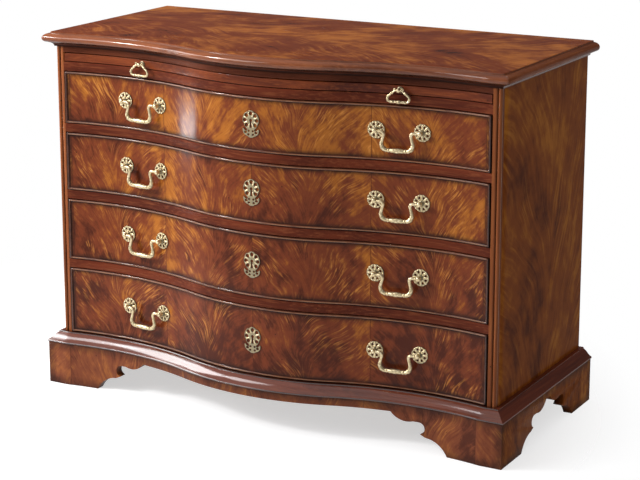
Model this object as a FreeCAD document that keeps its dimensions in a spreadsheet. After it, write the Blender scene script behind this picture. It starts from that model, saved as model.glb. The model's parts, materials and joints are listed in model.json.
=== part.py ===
"""Serpentine chest of drawers: four graduated drawers, a brushing slide and a bracket-footed base.

Frame: millimetres, X across the chest, the front faces -Y, Z up, the origin on the floor below
the middle of the chest's bounding box. Every front edge in the chest (top, rails, blades, drawers,
mouldings, plinth) is the same serpentine, moved outwards or inwards by a reach.
"""
import FreeCAD, Part
import math
import os
import Sketcher

SIDES = (("left", -1), ("right", 1))
ORDINALS = ("first", "second", "third", "fourth")

doc = FreeCAD.newDocument("serpentine_chest")

# Driving dimensions
SIZES = (
    ("overall_width", 1130.0, "across the base moulding"),
    ("overall_depth", 544.0, "back of the top to the belly of the base moulding"),
    ("overall_height", 807.0, "floor to the top's upper face"),
    ("base_reach", 29.0, "base moulding beyond the case"),
    ("base_fillet", 5.0, "square fillet under the base moulding's ogee"),
    ("top_reach", 24.0, "nose of the top beyond the case"),
    ("bulge_radius", 500.0, "convex middle of the serpentine, in plan"),
    ("hollow_radius", 660.0, "concave flanks of the serpentine, in plan"),
    ("hollow_x", 395.0, "middle of each hollow, from the centre line"),
    ("corner_step", 11.0, "flat corner ahead of the hollow's deepest line"),
    ("stile_width", 19.0, "front stile, seen from the front"),
    ("stile_depth", 36.0, "front stile, front to back"),
    ("bead_radius", 4.5, "bead worked on the stile's corner"),
    ("quirk", 3.0, "groove beside the corner bead"),
    ("base_top", 120.0, "floor to the top of the base frame"),
    ("base_frame_depth", 23.0, "height of the moulded base frame"),
    ("base_frame_width", 56.0, "base frame under the case"),
    ("opening_first", 118.0, "height of the top drawer's opening"),
    ("opening_second", 132.0, "height of the second opening"),
    ("opening_third", 139.5, "height of the third opening"),
    ("opening_fourth", 151.5, "height of the bottom opening"),
    ("blade", 20.0, "thickness of the rails between drawers"),
    ("blade_width", 75.0, "blade behind the deepest hollow"),
    ("slide_opening", 21.0, "height of the brushing slide's slot"),
    ("frieze", 23.0, "height of the rail under the top"),
    ("top_thickness", 22.0, "thickness of the top board"),
    ("top_nose", 7.0, "nose of the top above its underside"),
    ("top_inset", 15.0, "flat of the top inside its nose"),
    ("top_step", 3.0, "small step round the flat of the top"),
    ("top_clip", 5.0, "clipped front corners of the top"),
    ("cove_height", 10.0, "cove moulding under the top"),
    ("cove_reach", 13.0, "cove moulding at its upper edge"),
    ("cove_lip", 3.0, "cove moulding at its lower edge"),
    ("cove_clear", 0.8, "cove moulding's back, off the curved rail"),
    ("back_thickness", 9.0, "back panel"),
    ("back_inset", 6.0, "case's back inside the top's rear edge"),
    ("back_rabbet", 9.0, "rabbet that the back panel sits in"),
    ("rear_rail", 30.0, "rail under the top at the back, front to back"),
    ("dust_thickness", 8.0, "boards between the drawers"),
    ("runner_width", 24.0, "drawer runner"),
    ("bottom_thickness", 12.0, "board inside the base frame"),
    ("bottom_drop", 2.0, "that board below the top of the base frame"),
    ("apron_depth", 18.0, "plinth between the brackets"),
    ("plinth_setback", 2.5, "plinth behind the moulding's edge"),
    ("plinth_thickness", 20.0, "plinth boards"),
    ("toe_front", 126.0, "width of a foot across the front"),
    ("toe_side", 103.0, "width of a foot along the side"),
    ("toe_back", 115.0, "width of a rear bracket across the back"),
    ("bracket_run", 128.0, "bracket from toe to apron"),
    ("foot_block", 27.0, "square glue block inside each foot"),
    ("front_thickness", 22.0, "drawer front"),
    ("bead", 4.5, "cockbead thickness"),
    ("bead_proud", 3.0, "cockbead in front of the veneer"),
    ("bead_depth", 12.0, "cockbead, front to back"),
    ("side_gap", 2.5, "gap beside a drawer front"),
    ("head_gap", 1.5, "gap above and below a drawer front"),
    ("lining", 12.0, "drawer sides and back"),
    ("lining_drop", 14.0, "top of the drawer sides below the opening"),
    ("run_gap", 0.5, "drawer side above its runner"),
    ("drawer_length", 427.0, "back of a drawer behind its deepest hollow"),
    ("drawer_bottom", 7.0, "thickness of a drawer bottom"),
    ("bottom_rise", 9.0, "drawer bottom above its runner"),
    ("stop_height", 8.0, "drawer stop on the blade"),
    ("stop_width", 34.0, "drawer stop across the chest"),
    ("stop_depth", 14.0, "drawer stop, front to back"),
    ("stop_x", 430.0, "drawer stop from the centre line"),
    ("slide_thickness", 17.0, "brushing slide"),
    ("slide_length", 385.0, "brushing slide behind its deepest hollow"),
    ("handle_x", 311.0, "middle of a handle from the centre line"),
    ("handle_span", 98.0, "between the two posts of a handle"),
    ("handle_lift", 5.0, "posts above the middle of the drawer"),
    ("rosette_radius", 18.5, "pierced rosette under each post"),
    ("rosette_thickness", 3.0, "rosette plate"),
    ("piercing_radius", 4.2, "cut-outs of a rosette"),
    ("piercing_circle", 11.6, "circle that the cut-outs stand on"),
    ("post_reach", 14.0, "bail axis in front of the veneer"),
    ("post_head", 5.0, "radius of the post"),
    ("fit", 0.25, "easing at a joint"),
    ("pin_radius", 1.8, "bail pin"),
    ("pin_clearance", 0.35, "bail pin inside the post"),
    ("neck_radius", 3.1, "thickness of the bail's neck, as a radius"),
    ("corner_radius", 4.0, "thickness of the bail's lower corners, as a radius"),
    ("grip_radius", 4.7, "thickness of the bail's grip, as a radius"),
    ("neck_run", 7.0, "bail from its post to the neck's bend"),
    ("neck_bend", 7.0, "radius of the swan neck"),
    ("neck_flare", 17.0, "straight flare below the neck"),
    ("corner_bend", 10.0, "radius of the bail's lower corners, in plan"),
    ("neck_turn", 105.0, "turn of the swan neck, degrees"),
    ("loop_shoulder", 16.0, "slanting shoulder of the brushing slide's loop"),
    ("loop_neck", 4.0, "radius of the loop's bend beside its post"),
    ("loop_bend", 7.0, "radius of the loop's lower corners"),
    ("loop_slope", 40.0, "slope of the loop's shoulder, degrees"),
    ("loop_reach", 11.0, "loop's pin in front of the slide"),
    ("loop_wire", 2.2, "thickness of the loop, as a radius"),
    ("loop_knop", 3.2, "thickness of the loop's leafy bottom, as a radius"),
    ("loop_pin", 1.6, "loop's pin, as a radius"),
    ("loop_post", 4.2, "radius of the loop's post"),
    ("loop_crest", 8.0, "scroll beside the loop's post"),
    ("crest_thickness", 2.6, "that scroll, front to back"),
    ("plate_height", 55.0, "escutcheon"),
    ("plate_width", 33.0, "escutcheon"),
    ("plate_thickness", 2.4, "escutcheon"),
    ("keyhole_radius", 3.2, "round part of the keyhole"),
)

sheet = doc.addObject("Spreadsheet::Sheet", "Sizes")
for row, (alias, number, note) in enumerate(SIZES, start=1):
    sheet.set("A%d" % row, alias)
    sheet.set("B%d" % row, str(number))
    sheet.set("C%d" % row, note)
    sheet.setAlias("B%d" % row, alias)
doc.recompute()


class Dim:
    """A size with its number and the expression over the sheet that gives it."""

    def __init__(self, text, value):
        self.text = text
        self.value = value

    def __add__(self, other):
        other = dim(other)
        return Dim("(%s + %s)" % (self.text, other.text), self.value + other.value)

    def __sub__(self, other):
        other = dim(other)
        return Dim("(%s - %s)" % (self.text, other.text), self.value - other.value)

    def __mul__(self, other):
        other = dim(other)
        return Dim("(%s * %s)" % (self.text, other.text), self.value * other.value)

    def __truediv__(self, other):
        other = dim(other)
        return Dim("(%s / %s)" % (self.text, other.text), self.value / other.value)

    def __neg__(self):
        return Dim("(0 - %s)" % self.text, -self.value)


def dim(value):
    """A plain number as a Dim."""
    if isinstance(value, Dim):
        return value
    return Dim(repr(float(value)), float(value))


def size(alias):
    """A cell of the sheet as a Dim."""
    return Dim("Sizes." + alias, float(sheet.get(alias)))


def root(value):
    """The square root of a Dim."""
    return Dim("sqrt(%s)" % value.text, math.sqrt(value.value))


def bind(thing, name, value):
    """Tie a property of a document object to the sheet."""
    thing.setExpression(name, dim(value).text)


# Levels and planes that the pieces share
ZERO = dim(0)
back_y = size("overall_depth") / 2
case_back_y = back_y - size("back_inset")
back_face_y = case_back_y - size("back_thickness")
case_half = size("overall_width") / 2 - size("base_reach")
opening_half = case_half - size("stile_width")
bulge = size("bulge_radius")
hollow = size("hollow_radius")
hollow_x = size("hollow_x")
apex_y = size("base_reach") - back_y
bulge_centre_y = apex_y + bulge
centres_apart = bulge + hollow
hollow_centre_y = bulge_centre_y - root(centres_apart * centres_apart - hollow_x * hollow_x)
hollow_y = hollow_centre_y + hollow
corner_y = hollow_y - size("corner_step")
stile_back_y = corner_y + size("stile_depth")
blade_back_y = hollow_y + size("blade_width")
base_top = size("base_top")
base_under = base_top - size("base_frame_depth")
apron_z = base_under - size("apron_depth")
top_z = size("overall_height")
top_under = top_z - size("top_thickness")
frieze_under = top_under - size("frieze")
slide_floor = frieze_under - size("slide_opening")
openings = [size("opening_" + word) for word in ORDINALS]
blade_tops = []
drawer_floors = []
level = slide_floor
for opening in openings:
    blade_tops.append(level)
    level = level - size("blade") - opening
    drawer_floors.append(level)
finished = []


def finish(thing, node):
    """Name a finished sub-part after its node."""
    thing.Label = node
    finished.append(thing)


def group(node, members):
    """Several like solids that share one node."""
    compound = doc.addObject("Part::Compound", node)
    compound.Links = members
    finish(compound, node)


def board(name, low, high):
    """A square-edged board between two corners given as Dims."""
    box = doc.addObject("Part::Box", name)
    for prop, axis, a, b in zip(("Length", "Width", "Height"), "xyz", low, high):
        bind(box, prop, b - a)
        bind(box, "Placement.Base." + axis, a)
    return box


def side_board(name, sign, inner, outer, low, high):
    """A board on one side of the chest: inner and outer are distances from the centre line."""
    x = (inner, outer) if sign > 0 else (-outer, -inner)
    return board(name, (x[0], low[0], low[1]), (x[1], high[0], high[1]))


def cut_from(name, base, tools):
    """Cut one or more tools from a solid."""
    cut = doc.addObject("Part::Cut", name)
    cut.Base = base
    cut.Tool = tools[0]
    if len(tools) > 1:
        cut.Tool = fuse_of(name + "_tools", tools)
    return cut


def fuse_of(name, members):
    """One solid out of several that run into each other."""
    fuse = doc.addObject("Part::MultiFuse", name)
    fuse.Shapes = members
    return fuse


# Sketches
def new_sketch(body, name, role="XY_Plane", offset=None):
    """A sketch on one of the body's own planes, moved along that plane's normal."""
    planes = [plane for plane in body.Origin.OriginFeatures if plane.Role == role]
    sketch = body.newObject("Sketcher::SketchObject", name)
    sketch.AttachmentSupport = [(planes[0], "")]
    sketch.MapMode = "FlatFace"
    if offset is not None:
        bind(sketch, "AttachmentOffset.Base.z", offset)
    return sketch


def constrain(sketch, kind, where, value):
    """A dimension on a sketch that follows the sheet."""
    index = sketch.addConstraint(Sketcher.Constraint(kind, *where, value.value))
    sketch.setExpression("Constraints[%d]" % index, value.text)


def pin_point(sketch, geo, pos, point):
    """Hold a sketch vertex at a place given by two Dims."""
    for kind, value in zip(("DistanceX", "DistanceY"), point):
        if value.value >= 0:
            constrain(sketch, kind, (-1, 1, geo, pos), value)
        else:
            constrain(sketch, kind, (geo, pos, -1, 1), -value)


def arc_between(start, end, radius, turn):
    """The short arc from start to end; turn is 1 to bear left and -1 to bear right."""
    chord = end.sub(start)
    rise = math.sqrt(max(radius ** 2 - (chord.Length / 2) ** 2, 0.0))
    normal = FreeCAD.Vector(-chord.y, chord.x, 0)
    normal.normalize()
    centre = (start + end) * 0.5 + normal * (rise * turn)
    first, last = (start, end) if turn > 0 else (end, start)
    angles = [math.atan2(point.y - centre.y, point.x - centre.x) for point in (first, last)]
    circle = Part.Circle(centre, FreeCAD.Vector(0, 0, 1), radius)
    return Part.ArcOfCircle(circle, angles[0], angles[1])


def outline(sketch, points, bends=None):
    """A closed outline through points; bends gives (radius, turn) for the arcs, by first point."""
    bends = bends or {}
    vectors = [FreeCAD.Vector(x.value, y.value, 0) for x, y in points]
    count = len(points)
    ends = []
    for i, start in enumerate(vectors):
        end = vectors[(i + 1) % count]
        if i in bends:
            radius, turn = bends[i]
            geo = sketch.addGeometry(arc_between(start, end, radius.value, turn), False)
            ends.append((geo, 1, 2) if turn > 0 else (geo, 2, 1))
        else:
            geo = sketch.addGeometry(Part.LineSegment(start, end), False)
            ends.append((geo, 1, 2))
    for i, (geo, first, last) in enumerate(ends):
        following = ends[(i + 1) % count]
        sketch.addConstraint(Sketcher.Constraint("Coincident", geo, last, following[0], following[1]))
        pin_point(sketch, geo, first, points[i])
        if i in bends:
            constrain(sketch, "Radius", (geo,), bends[i][0])
    return sketch


def pad(body, sketch, length):
    """Thicken a sketch along its normal."""
    feature = body.newObject("PartDesign::Pad", body.Name + "_pad")
    feature.Profile = sketch
    bind(feature, "Length", length)
    body.Tip = feature


def pocket_through(body, sketch):
    """Cut a sketch right through the body, both ways, and see that it did cut."""
    doc.recompute()
    before = body.Shape.Volume
    feature = body.newObject("PartDesign::Pocket", sketch.Name + "_pocket")
    feature.Profile = sketch
    feature.Type = "ThroughAll"
    feature.Midplane = True
    body.Tip = feature
    doc.recompute()
    if body.Shape.Volume >= before:
        raise RuntimeError(sketch.Name + " cuts nothing")


def plan_board(name, plan, low, thickness):
    """A board cut to a plan, lying at a level."""
    body = doc.addObject("PartDesign::Body", name)
    pad(body, outline(new_sketch(body, name + "_plan", offset=low), *plan), thickness)
    return body


def plan_loft(name, layers):
    """A moulded board: plans at rising levels, joined by straight facets."""
    body = doc.addObject("PartDesign::Body", name)
    sketches = []
    for i, (low, plan) in enumerate(layers):
        sketches.append(outline(new_sketch(body, "%s_plan_%d" % (name, i), offset=low), *plan))
    loft = body.newObject("PartDesign::AdditiveLoft", name + "_loft")
    loft.Profile = sketches[0]
    loft.Sections = sketches[1:]
    loft.Ruled = True
    body.Tip = loft
    return body


def mirrored(points, sign):
    """Points of the right-hand side, or their mirror image on the left."""
    return [(x * sign, y) for x, y in points]


# The serpentine
def flank_y(x, reach=ZERO):
    """Depth of the serpentine at x, on a hollow flank."""
    radius = hollow - reach
    away = x - hollow_x
    return hollow_centre_y + root(radius * radius - away * away)


def bulge_y(x, reach=ZERO):
    """Depth of the serpentine at x, on the convex middle."""
    radius = bulge + reach
    return bulge_centre_y - root(radius * radius - x * x)


def turn_at(reach):
    """Where the middle meets a flank, from the centre line."""
    return hollow_x * (bulge + reach) / centres_apart


def flat_at(reach):
    """Where a flank meets the flat corner, from the centre line."""
    concave = hollow - reach
    drop = corner_y - reach - hollow_centre_y
    return hollow_x + root(concave * concave - drop * drop)


def serpentine(half, reach=ZERO):
    """Front edge from left to right: its points, and its arcs keyed by their first point."""
    concave = hollow - reach
    turn_x = turn_at(reach)
    flat_x = flat_at(reach)
    flat_y = corner_y - reach
    right = [(turn_x, bulge_y(turn_x, reach))]
    if half.value > flat_x.value:
        right += [(flat_x, flat_y), (half, flat_y)]
    else:
        right += [(half, flank_y(half, reach))]
    left = mirrored(reversed(right), -1)
    first = len(left) - 2
    bends = {first: (concave, -1), first + 1: (bulge + reach, 1), first + 2: (concave, -1)}
    return left + right, bends


def planed_flats(half, reach, flats=14):
    """The same edge where it is hidden, planed in short flats."""
    flat_x = flat_at(reach)
    has_corner = half.value > flat_x.value
    curved = flat_x if has_corner else half
    points = []
    for i in range(flats // 2 + 1):
        x = curved * (2.0 * i / flats)
        y = bulge_y(x, reach) if x.value < turn_at(reach).value else flank_y(x, reach)
        points.append((x, y))
    if has_corner:
        points.append((half, corner_y - reach))
    return mirrored(reversed(points[1:]), -1) + points


def front_to_line(half, reach, rear_half, rear_y):
    """Plan of a board with a serpentine front edge and a straight rear edge."""
    points, bends = serpentine(half, reach)
    return points + [(rear_half, rear_y), (-rear_half, rear_y)], bends


def front_to_flats(half, reach, inner_half, inner_reach, flats=14):
    """Plan of a strip with a serpentine front edge and a hidden rear edge planed in flats."""
    points, bends = serpentine(half, reach)
    return points + planed_flats(inner_half, inner_reach, flats)[::-1], bends


# Top board with its moulded edge
def top_plan(reach):
    """Plan of the top at one reach, with its clipped front corners."""
    points, bends = serpentine(case_half + reach, reach)
    clip = size("top_clip")
    x, y = points[-1]
    ends = [(x - clip, y), (x, y + clip), (x, back_y)]
    bends = {i + len(ends) - 1: bend for i, bend in bends.items()}
    return mirrored(reversed(ends), -1) + points[1:-1] + ends, bends


def top_profile():
    """Level and reach of each facet of the top's edge: hollow under the nose, thumbnail, small step."""
    nose = size("top_reach")
    nose_z = top_under + size("top_nose")
    thumb_height = top_z - size("top_step") - nose_z
    thumb_depth = size("top_inset") - 1
    layers = [(top_under, nose - size("top_nose")), (nose_z, nose)]
    for angle in (35.0, 65.0, 90.0):
        up = math.sin(math.radians(angle))
        inwards = 1 - math.cos(math.radians(angle))
        layers.append((nose_z + thumb_height * up, nose - thumb_depth * inwards))
    layers.append((top_z, nose - size("top_inset")))
    return layers


finish(plan_loft("top", [(z, top_plan(reach)) for z, reach in top_profile()]), "top")


# Moulded lengths round the front and the two sides, mitred at the corners
def mitred_side(sign, reach, inner):
    """Side length at one reach, mitred at its front end; inner is its width inside the case line."""
    far = case_half + reach
    near = case_half - inner
    points = [(near, corner_y + inner), (far, corner_y - reach), (far, back_y), (near, back_y)]
    return mirrored(points, sign), {}


def cove_profile():
    """Level and reach of the hollow under the top."""
    lip = size("cove_lip")
    layers = [(top_under - size("cove_height"), lip)]
    for height, share in ((0.45, 0.25), (0.0, 1.0)):
        layers.append((top_under - size("cove_height") * height, lip + (size("cove_reach") - lip) * share))
    return layers


clear = size("cove_clear")
cove_flats = 28
cove_front = [(z, front_to_flats(case_half + reach, reach, case_half + clear, clear, cove_flats))
              for z, reach in cove_profile()]
cove = [plan_loft("cove_front", cove_front)]
for side, sign in SIDES:
    cove.append(plan_loft("cove_" + side, [(z, mitred_side(sign, reach, -clear))
                                           for z, reach in cove_profile()]))
group("top_cove_moulding", cove)


def base_profile():
    """Level and reach of the base moulding: square fillet, ogee and a narrow upper step."""
    reach = size("base_reach")
    start = base_under + size("base_fillet")
    layers = [(base_under, reach), (start, reach)]
    ogee = ((0.02, 0.95), (0.28, 0.84), (0.55, 0.58), (0.82, 0.34), (1.0, 0.26))
    for up, share in ogee:
        layers.append((start + (base_top - start) * up, reach * share))
    return layers


frame_width = size("base_frame_width")
frame_half = case_half - frame_width
front_layers = [(z, front_to_line(case_half + reach, reach, frame_half, corner_y + frame_width))
                for z, reach in base_profile()]
frame = [plan_loft("base_frame_front", front_layers)]
for side, sign in SIDES:
    frame.append(plan_loft("base_frame_" + side, [(z, mitred_side(sign, reach, frame_width))
                                                  for z, reach in base_profile()]))
frame.append(board("base_frame_rear", (-frame_half, back_y - frame_width, base_under),
                   (frame_half, back_y, base_top)))
group("base_frame", frame)
bottom_top = base_top - size("bottom_drop")
finish(board("bottom_board", (-frame_half, corner_y + frame_width, bottom_top - size("bottom_thickness")),
             (frame_half, back_y - frame_width, bottom_top)), "bottom_board")


# Case: sides, stiles, back, rails, blades, dust boards and runners
def stile_plan(sign):
    """Plan of a front stile with a quirked bead on its outer corner."""
    bead_r = size("bead_radius")
    across = bead_r * 2
    points = [(opening_half, corner_y), (case_half - across - size("quirk"), corner_y),
              (case_half - across, corner_y + bead_r), (case_half - bead_r, corner_y),
              (case_half, corner_y + bead_r), (case_half - bead_r, corner_y + across),
              (case_half, corner_y + across + size("quirk")), (case_half, stile_back_y),
              (opening_half, stile_back_y)]
    bends = {i: (bead_r, sign) for i in (2, 3, 4)}
    return mirrored(points, sign), bends


lip_half = opening_half + size("back_rabbet")
stiles = []
for side, sign in SIDES:
    panel = side_board(side + "_panel", sign, opening_half, case_half, (stile_back_y, base_top),
                       (case_back_y, top_under))
    rabbet = side_board(side + "_rabbet", sign, opening_half, lip_half, (back_face_y, base_top),
                        (case_back_y, top_under))
    finish(cut_from(side + "_side", panel, [rabbet]), side + "_side")
    stiles.append(plan_board(side + "_stile", stile_plan(sign), base_top, top_under - base_top))
group("front_stiles", stiles)
finish(board("back_panel", (-lip_half, back_face_y, base_top), (lip_half, case_back_y, top_under)),
       "back_panel")
rail_plan = front_to_line(opening_half, ZERO, opening_half, blade_back_y)
group("top_rails", [plan_board("frieze_rail", rail_plan, frieze_under, size("frieze")),
                    board("rear_rail", (-opening_half, back_face_y - size("rear_rail"), frieze_under),
                          (opening_half, back_face_y, top_under))])
runner_half = opening_half - size("runner_width")
blades = []
dust_boards = []
runners = []
for number, level in enumerate(blade_tops, start=1):
    under = level - size("blade")
    blades.append(plan_board("blade_%d" % number, rail_plan, under, size("blade")))
    dust_under = under + (size("blade") - size("dust_thickness")) / 2
    dust_boards.append(board("dust_board_%d" % number, (-runner_half, blade_back_y, dust_under),
                             (runner_half, back_face_y, dust_under + size("dust_thickness"))))
    for side, sign in SIDES:
        runners.append(side_board("runner_%s_%d" % (side, number), sign, runner_half, opening_half,
                                  (blade_back_y, under), (back_face_y, level)))
group("drawer_blades", blades)
group("dust_boards", dust_boards)
group("drawer_runners", runners)
stops = []
stop_y = flank_y(size("stop_x"), -size("front_thickness")) + size("fit") * 3
for number, floor in enumerate(drawer_floors, start=1):
    for side, sign in SIDES:
        near = size("stop_x") - size("stop_width") / 2
        stops.append(side_board("stop_%s_%d" % (side, number), sign, near, near + size("stop_width"),
                                (stop_y, floor), (stop_y + size("stop_depth"), floor + size("stop_height"))))
group("drawer_stops", stops)


# Plinth: boards sawn to bracket feet
def bracket(toe):
    """Sawn edge of a bracket from the floor at the toe up to the apron: ogee, beak, cove and lobe.

    Points are (way along the plinth from the foot's outer corner, height).
    """
    run = size("bracket_run")
    edge = ((0.0, 0.0), (0.39, 0.415), (0.485, 0.485), (0.38, 0.62), (0.50, 0.81), (0.61, 0.81), (1.0, 1.0))
    points = [(toe + run * along, apron_z * up) for along, up in edge]
    bends = {0: (run * 0.46, -1), 2: (run * 0.16, 1), 3: (run * 0.125, -1), 5: (run * 0.35, 1)}
    return points, bends


def arch(start, end, toe):
    """Opening between two bracket feet: the outline that is sawn out below the apron."""
    edge, edge_bends = bracket(toe)
    points = [(start + along, up) for along, up in edge]
    points += [(end - along, up) for along, up in reversed(edge)]
    bends = dict(edge_bends)
    for i, bend in edge_bends.items():
        bends[len(points) - 2 - i] = bend
    below = -size("apron_depth")
    return points + [(points[-1][0], below), (points[0][0], below)], bends


plinth_reach = size("base_reach") - size("plinth_setback")
inner_reach = plinth_reach - size("plinth_thickness")
plinth_half = case_half + plinth_reach
inner_half = case_half + inner_reach
plinth_front = plan_board("plinth_front", front_to_flats(plinth_half, plinth_reach, inner_half, inner_reach),
                          ZERO, base_under)
pocket_through(plinth_front, outline(new_sketch(plinth_front, "front_arch", "XZ_Plane"),
                                     *arch(-plinth_half, plinth_half, size("toe_front"))))
finish(plinth_front, "plinth_front")
side_plinths = []
for side, sign in SIDES:
    plinth = plan_board("plinth_" + side, mitred_side(sign, plinth_reach, -inner_reach), ZERO, base_under)
    pocket_through(plinth, outline(new_sketch(plinth, side + "_arch", "YZ_Plane"),
                                   *arch(corner_y - plinth_reach, back_y, size("toe_side"))))
    side_plinths.append(plinth)
group("side_plinths", side_plinths)

block = size("foot_block")
toe_back = size("toe_back")
block_front_y = corner_y - inner_reach
bracket_y = back_y - size("plinth_thickness")
rear_brackets = []
foot_blocks = []
for side, sign in SIDES:
    foot_blocks.append(side_board("front_block_" + side, sign, inner_half - block, inner_half,
                                  (block_front_y, ZERO), (block_front_y + block, base_under)))
    foot_blocks.append(side_board("rear_block_" + side, sign, inner_half - block, inner_half,
                                  (bracket_y - block, ZERO), (bracket_y, base_under)))
    profile = [(inner_half, ZERO), (inner_half, base_under), (inner_half - toe_back, base_under),
               (inner_half - toe_back, apron_z), (inner_half - toe_back * 0.55, ZERO)]
    rear = doc.addObject("PartDesign::Body", "rear_bracket_" + side)
    pad(rear, outline(new_sketch(rear, "rear_bracket_outline_" + side, "XZ_Plane", -back_y),
                      mirrored(profile, sign)), size("plinth_thickness"))
    rear_brackets.append(rear)
group("rear_brackets", rear_brackets)
group("foot_blocks", foot_blocks)


# Brass patterns: each stands at the origin, its back on the XZ plane, its front towards -Y
UP = FreeCAD.Vector(0, 0, 1)
TO_BACK = FreeCAD.Rotation(FreeCAD.Vector(1, 0, 0), -90)
TO_RIGHT = FreeCAD.Rotation(FreeCAD.Vector(0, 1, 0), 90)
HALF_TURN = FreeCAD.Rotation(FreeCAD.Vector(0, 1, 0), 180)


def prism(name, sides, radius, length, base, turn):
    """A prism of few sides for a small turned shape; base is its start, turn its direction."""
    column = doc.addObject("Part::Prism", name)
    column.Polygon = sides
    bind(column, "Circumradius", radius)
    bind(column, "Height", length)
    column.Placement = FreeCAD.Placement(FreeCAD.Vector(*base), turn)
    return column


def rosette_pattern():
    """A round plate pierced by a ring of cut-outs."""
    petals = 5
    plate = size("rosette_thickness")
    disc = prism("rosette_disc", 2 * petals, size("rosette_radius"), plate, (0, -plate.value, 0), TO_BACK)
    tools = []
    for i in range(petals):
        ring_turn = FreeCAD.Rotation(FreeCAD.Vector(0, 1, 0), 360.0 * (i + 0.25) / petals)
        at = ring_turn.multVec(FreeCAD.Vector(size("piercing_circle").value, -2 * plate.value, 0))
        tools.append(prism("piercing_%d" % i, 3, size("piercing_radius"), plate * 3, at,
                           ring_turn.multiply(TO_BACK)))
    return cut_from("rosette_pattern", disc, tools)


def post_pattern(name, radius, reach, start, eye_radius, eye_from):
    """A post that stands from start to past its reach, with an eye across it for a pin along X."""
    flat_to_side = TO_BACK.multiply(FreeCAD.Rotation(UP, 30))
    column = prism(name + "_column", 6, radius, reach + radius - start, (0, (-reach - radius).value, 0),
                   flat_to_side)
    eye = prism(name + "_eye", 6, eye_radius / math.cos(math.radians(30)), radius * 4,
                (eye_from, (-reach).value, 0), TO_RIGHT.multiply(FreeCAD.Rotation(UP, 30)))
    return cut_from(name, column, [eye])


def bent_path(moves, start, heading):
    """Follow straight runs (length,) and bends (radius, degrees) in the XZ plane."""
    x, z = start
    stations = [(x, z, heading)]
    facet = 36.0
    for move in moves:
        parts = 1
        turn = 0.0
        chord = move[0]
        if len(move) == 2:
            parts = math.ceil(abs(move[1]) / facet)
            turn = move[1] / parts
            chord = 2 * move[0] * math.sin(math.radians(abs(turn)) / 2)
        for _ in range(parts):
            aim = math.radians(heading + turn / 2)
            x += chord * math.cos(aim)
            z += chord * math.sin(aim)
            heading += turn
            stations.append((x, z, heading))
    return stations


def ring_corners(x, z, heading, radius):
    """Corners of a rod's six-sided section, square to its heading."""
    turn = FreeCAD.Rotation(FreeCAD.Vector(0, 1, 0), 90 - heading)
    place = FreeCAD.Placement(FreeCAD.Vector(x, 0, z), turn)
    angles = [math.radians(60 * i) for i in range(6)]
    return [place.multVec(FreeCAD.Vector(math.cos(a), math.sin(a), 0) * radius.value) for a in angles]


def rod(name, stations, closed=False):
    """A six-sided rod with plane facets: stations are (x, z, heading, radius).

    The thickness only changes on straight runs, so that every facet stays plane.
    """
    rings = [ring_corners(*station) for station in stations]
    faces = [] if closed else [rings[0], rings[-1]]
    following = rings[1:] + rings[:1] if closed else rings[1:]
    for near, far in zip(rings, following):
        for i in range(6):
            faces.append([near[i - 1], near[i], far[i], far[i - 1]])
    piece = doc.addObject("Part::Feature", name)
    piece.Shape = Part.Solid(Part.makeShell([Part.Face(Part.makePolygon(f + f[:1])) for f in faces]))
    return piece


def mirror_stations(stations):
    """The other half of a rod that is the same on both sides, walked back from the middle."""
    return [(-x, z, -heading, radius) for x, z, heading, radius in reversed(stations)]


def bail_pattern():
    """Swan-neck bail between two posts: pins, necks, flares, round corners, knuckles and a full grip."""
    span = size("handle_span").value / 2
    turn = size("neck_turn").value
    pin = size("pin_radius")
    neck = size("neck_radius")
    corner = size("corner_radius")
    grip = size("grip_radius")
    knuckle = 3.0
    shoulder = 0.6
    past_post = size("post_head").value + 0.8
    moves = ((past_post,), (shoulder,), (size("neck_run").value,), (size("neck_bend").value, turn),
             (size("neck_flare").value,), (size("corner_bend").value, -turn), (knuckle,), (knuckle,))
    radii = [pin, pin, neck, neck] + [neck] * 3 + [corner] * 4 + [corner * 0.8, grip]
    path = bent_path(moves, (span, 0.0), 180.0)
    half = [(x, z, heading, radius) for (x, z, heading), radius in zip(path, radii)]
    return rod("bail_pattern", half + mirror_stations(half))


def loop_pattern():
    """Stirrup-shaped loop: a pin through its post, sloping shoulders, a leafy bottom and two scrolls."""
    wire = size("loop_wire")
    pin = size("loop_pin")
    knop = size("loop_knop")
    post = size("loop_post").value
    slope = size("loop_slope").value
    past_post = post + 0.6
    collar = 1.2
    moves = ((past_post,), (collar,), (size("loop_neck").value, -slope), (size("loop_shoulder").value,),
             (size("loop_bend").value, slope - 180.0))
    path = bent_path(moves, (0.0, 0.0), 0.0)
    radii = [pin, pin] + [wire] * (len(path) - 2)
    right = [(x, z, heading, radius) for (x, z, heading), radius in zip(path, radii)]
    corner_x, bottom_z, heading, _ = right[-1]
    right += [(corner_x * 0.62, bottom_z, heading, knop * 0.9), (corner_x * 0.36, bottom_z, heading, wire)]
    middle = [(0.0, bottom_z, heading, knop)]
    stirrup = rod("loop_stirrup", right + middle + mirror_stations(right[1:]), closed=True)
    crest = size("loop_crest")
    thick = size("crest_thickness")
    near = size("loop_post") + 1
    members = [stirrup]
    for side, sign in SIDES:
        scroll = [(near, ZERO), (near + crest * 0.5, ZERO), (near + crest * 0.6, crest * 0.45),
                  (near + crest * 0.3, crest * 0.95), (near, crest * 0.6)]
        body = doc.addObject("PartDesign::Body", "loop_scroll_" + side)
        pad(body, outline(new_sketch(body, "loop_scroll_outline_" + side, "XZ_Plane", -thick / 2),
                          mirrored(scroll, sign)), thick)
        members.append(body)
    return fuse_of("loop_pattern", members)


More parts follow.
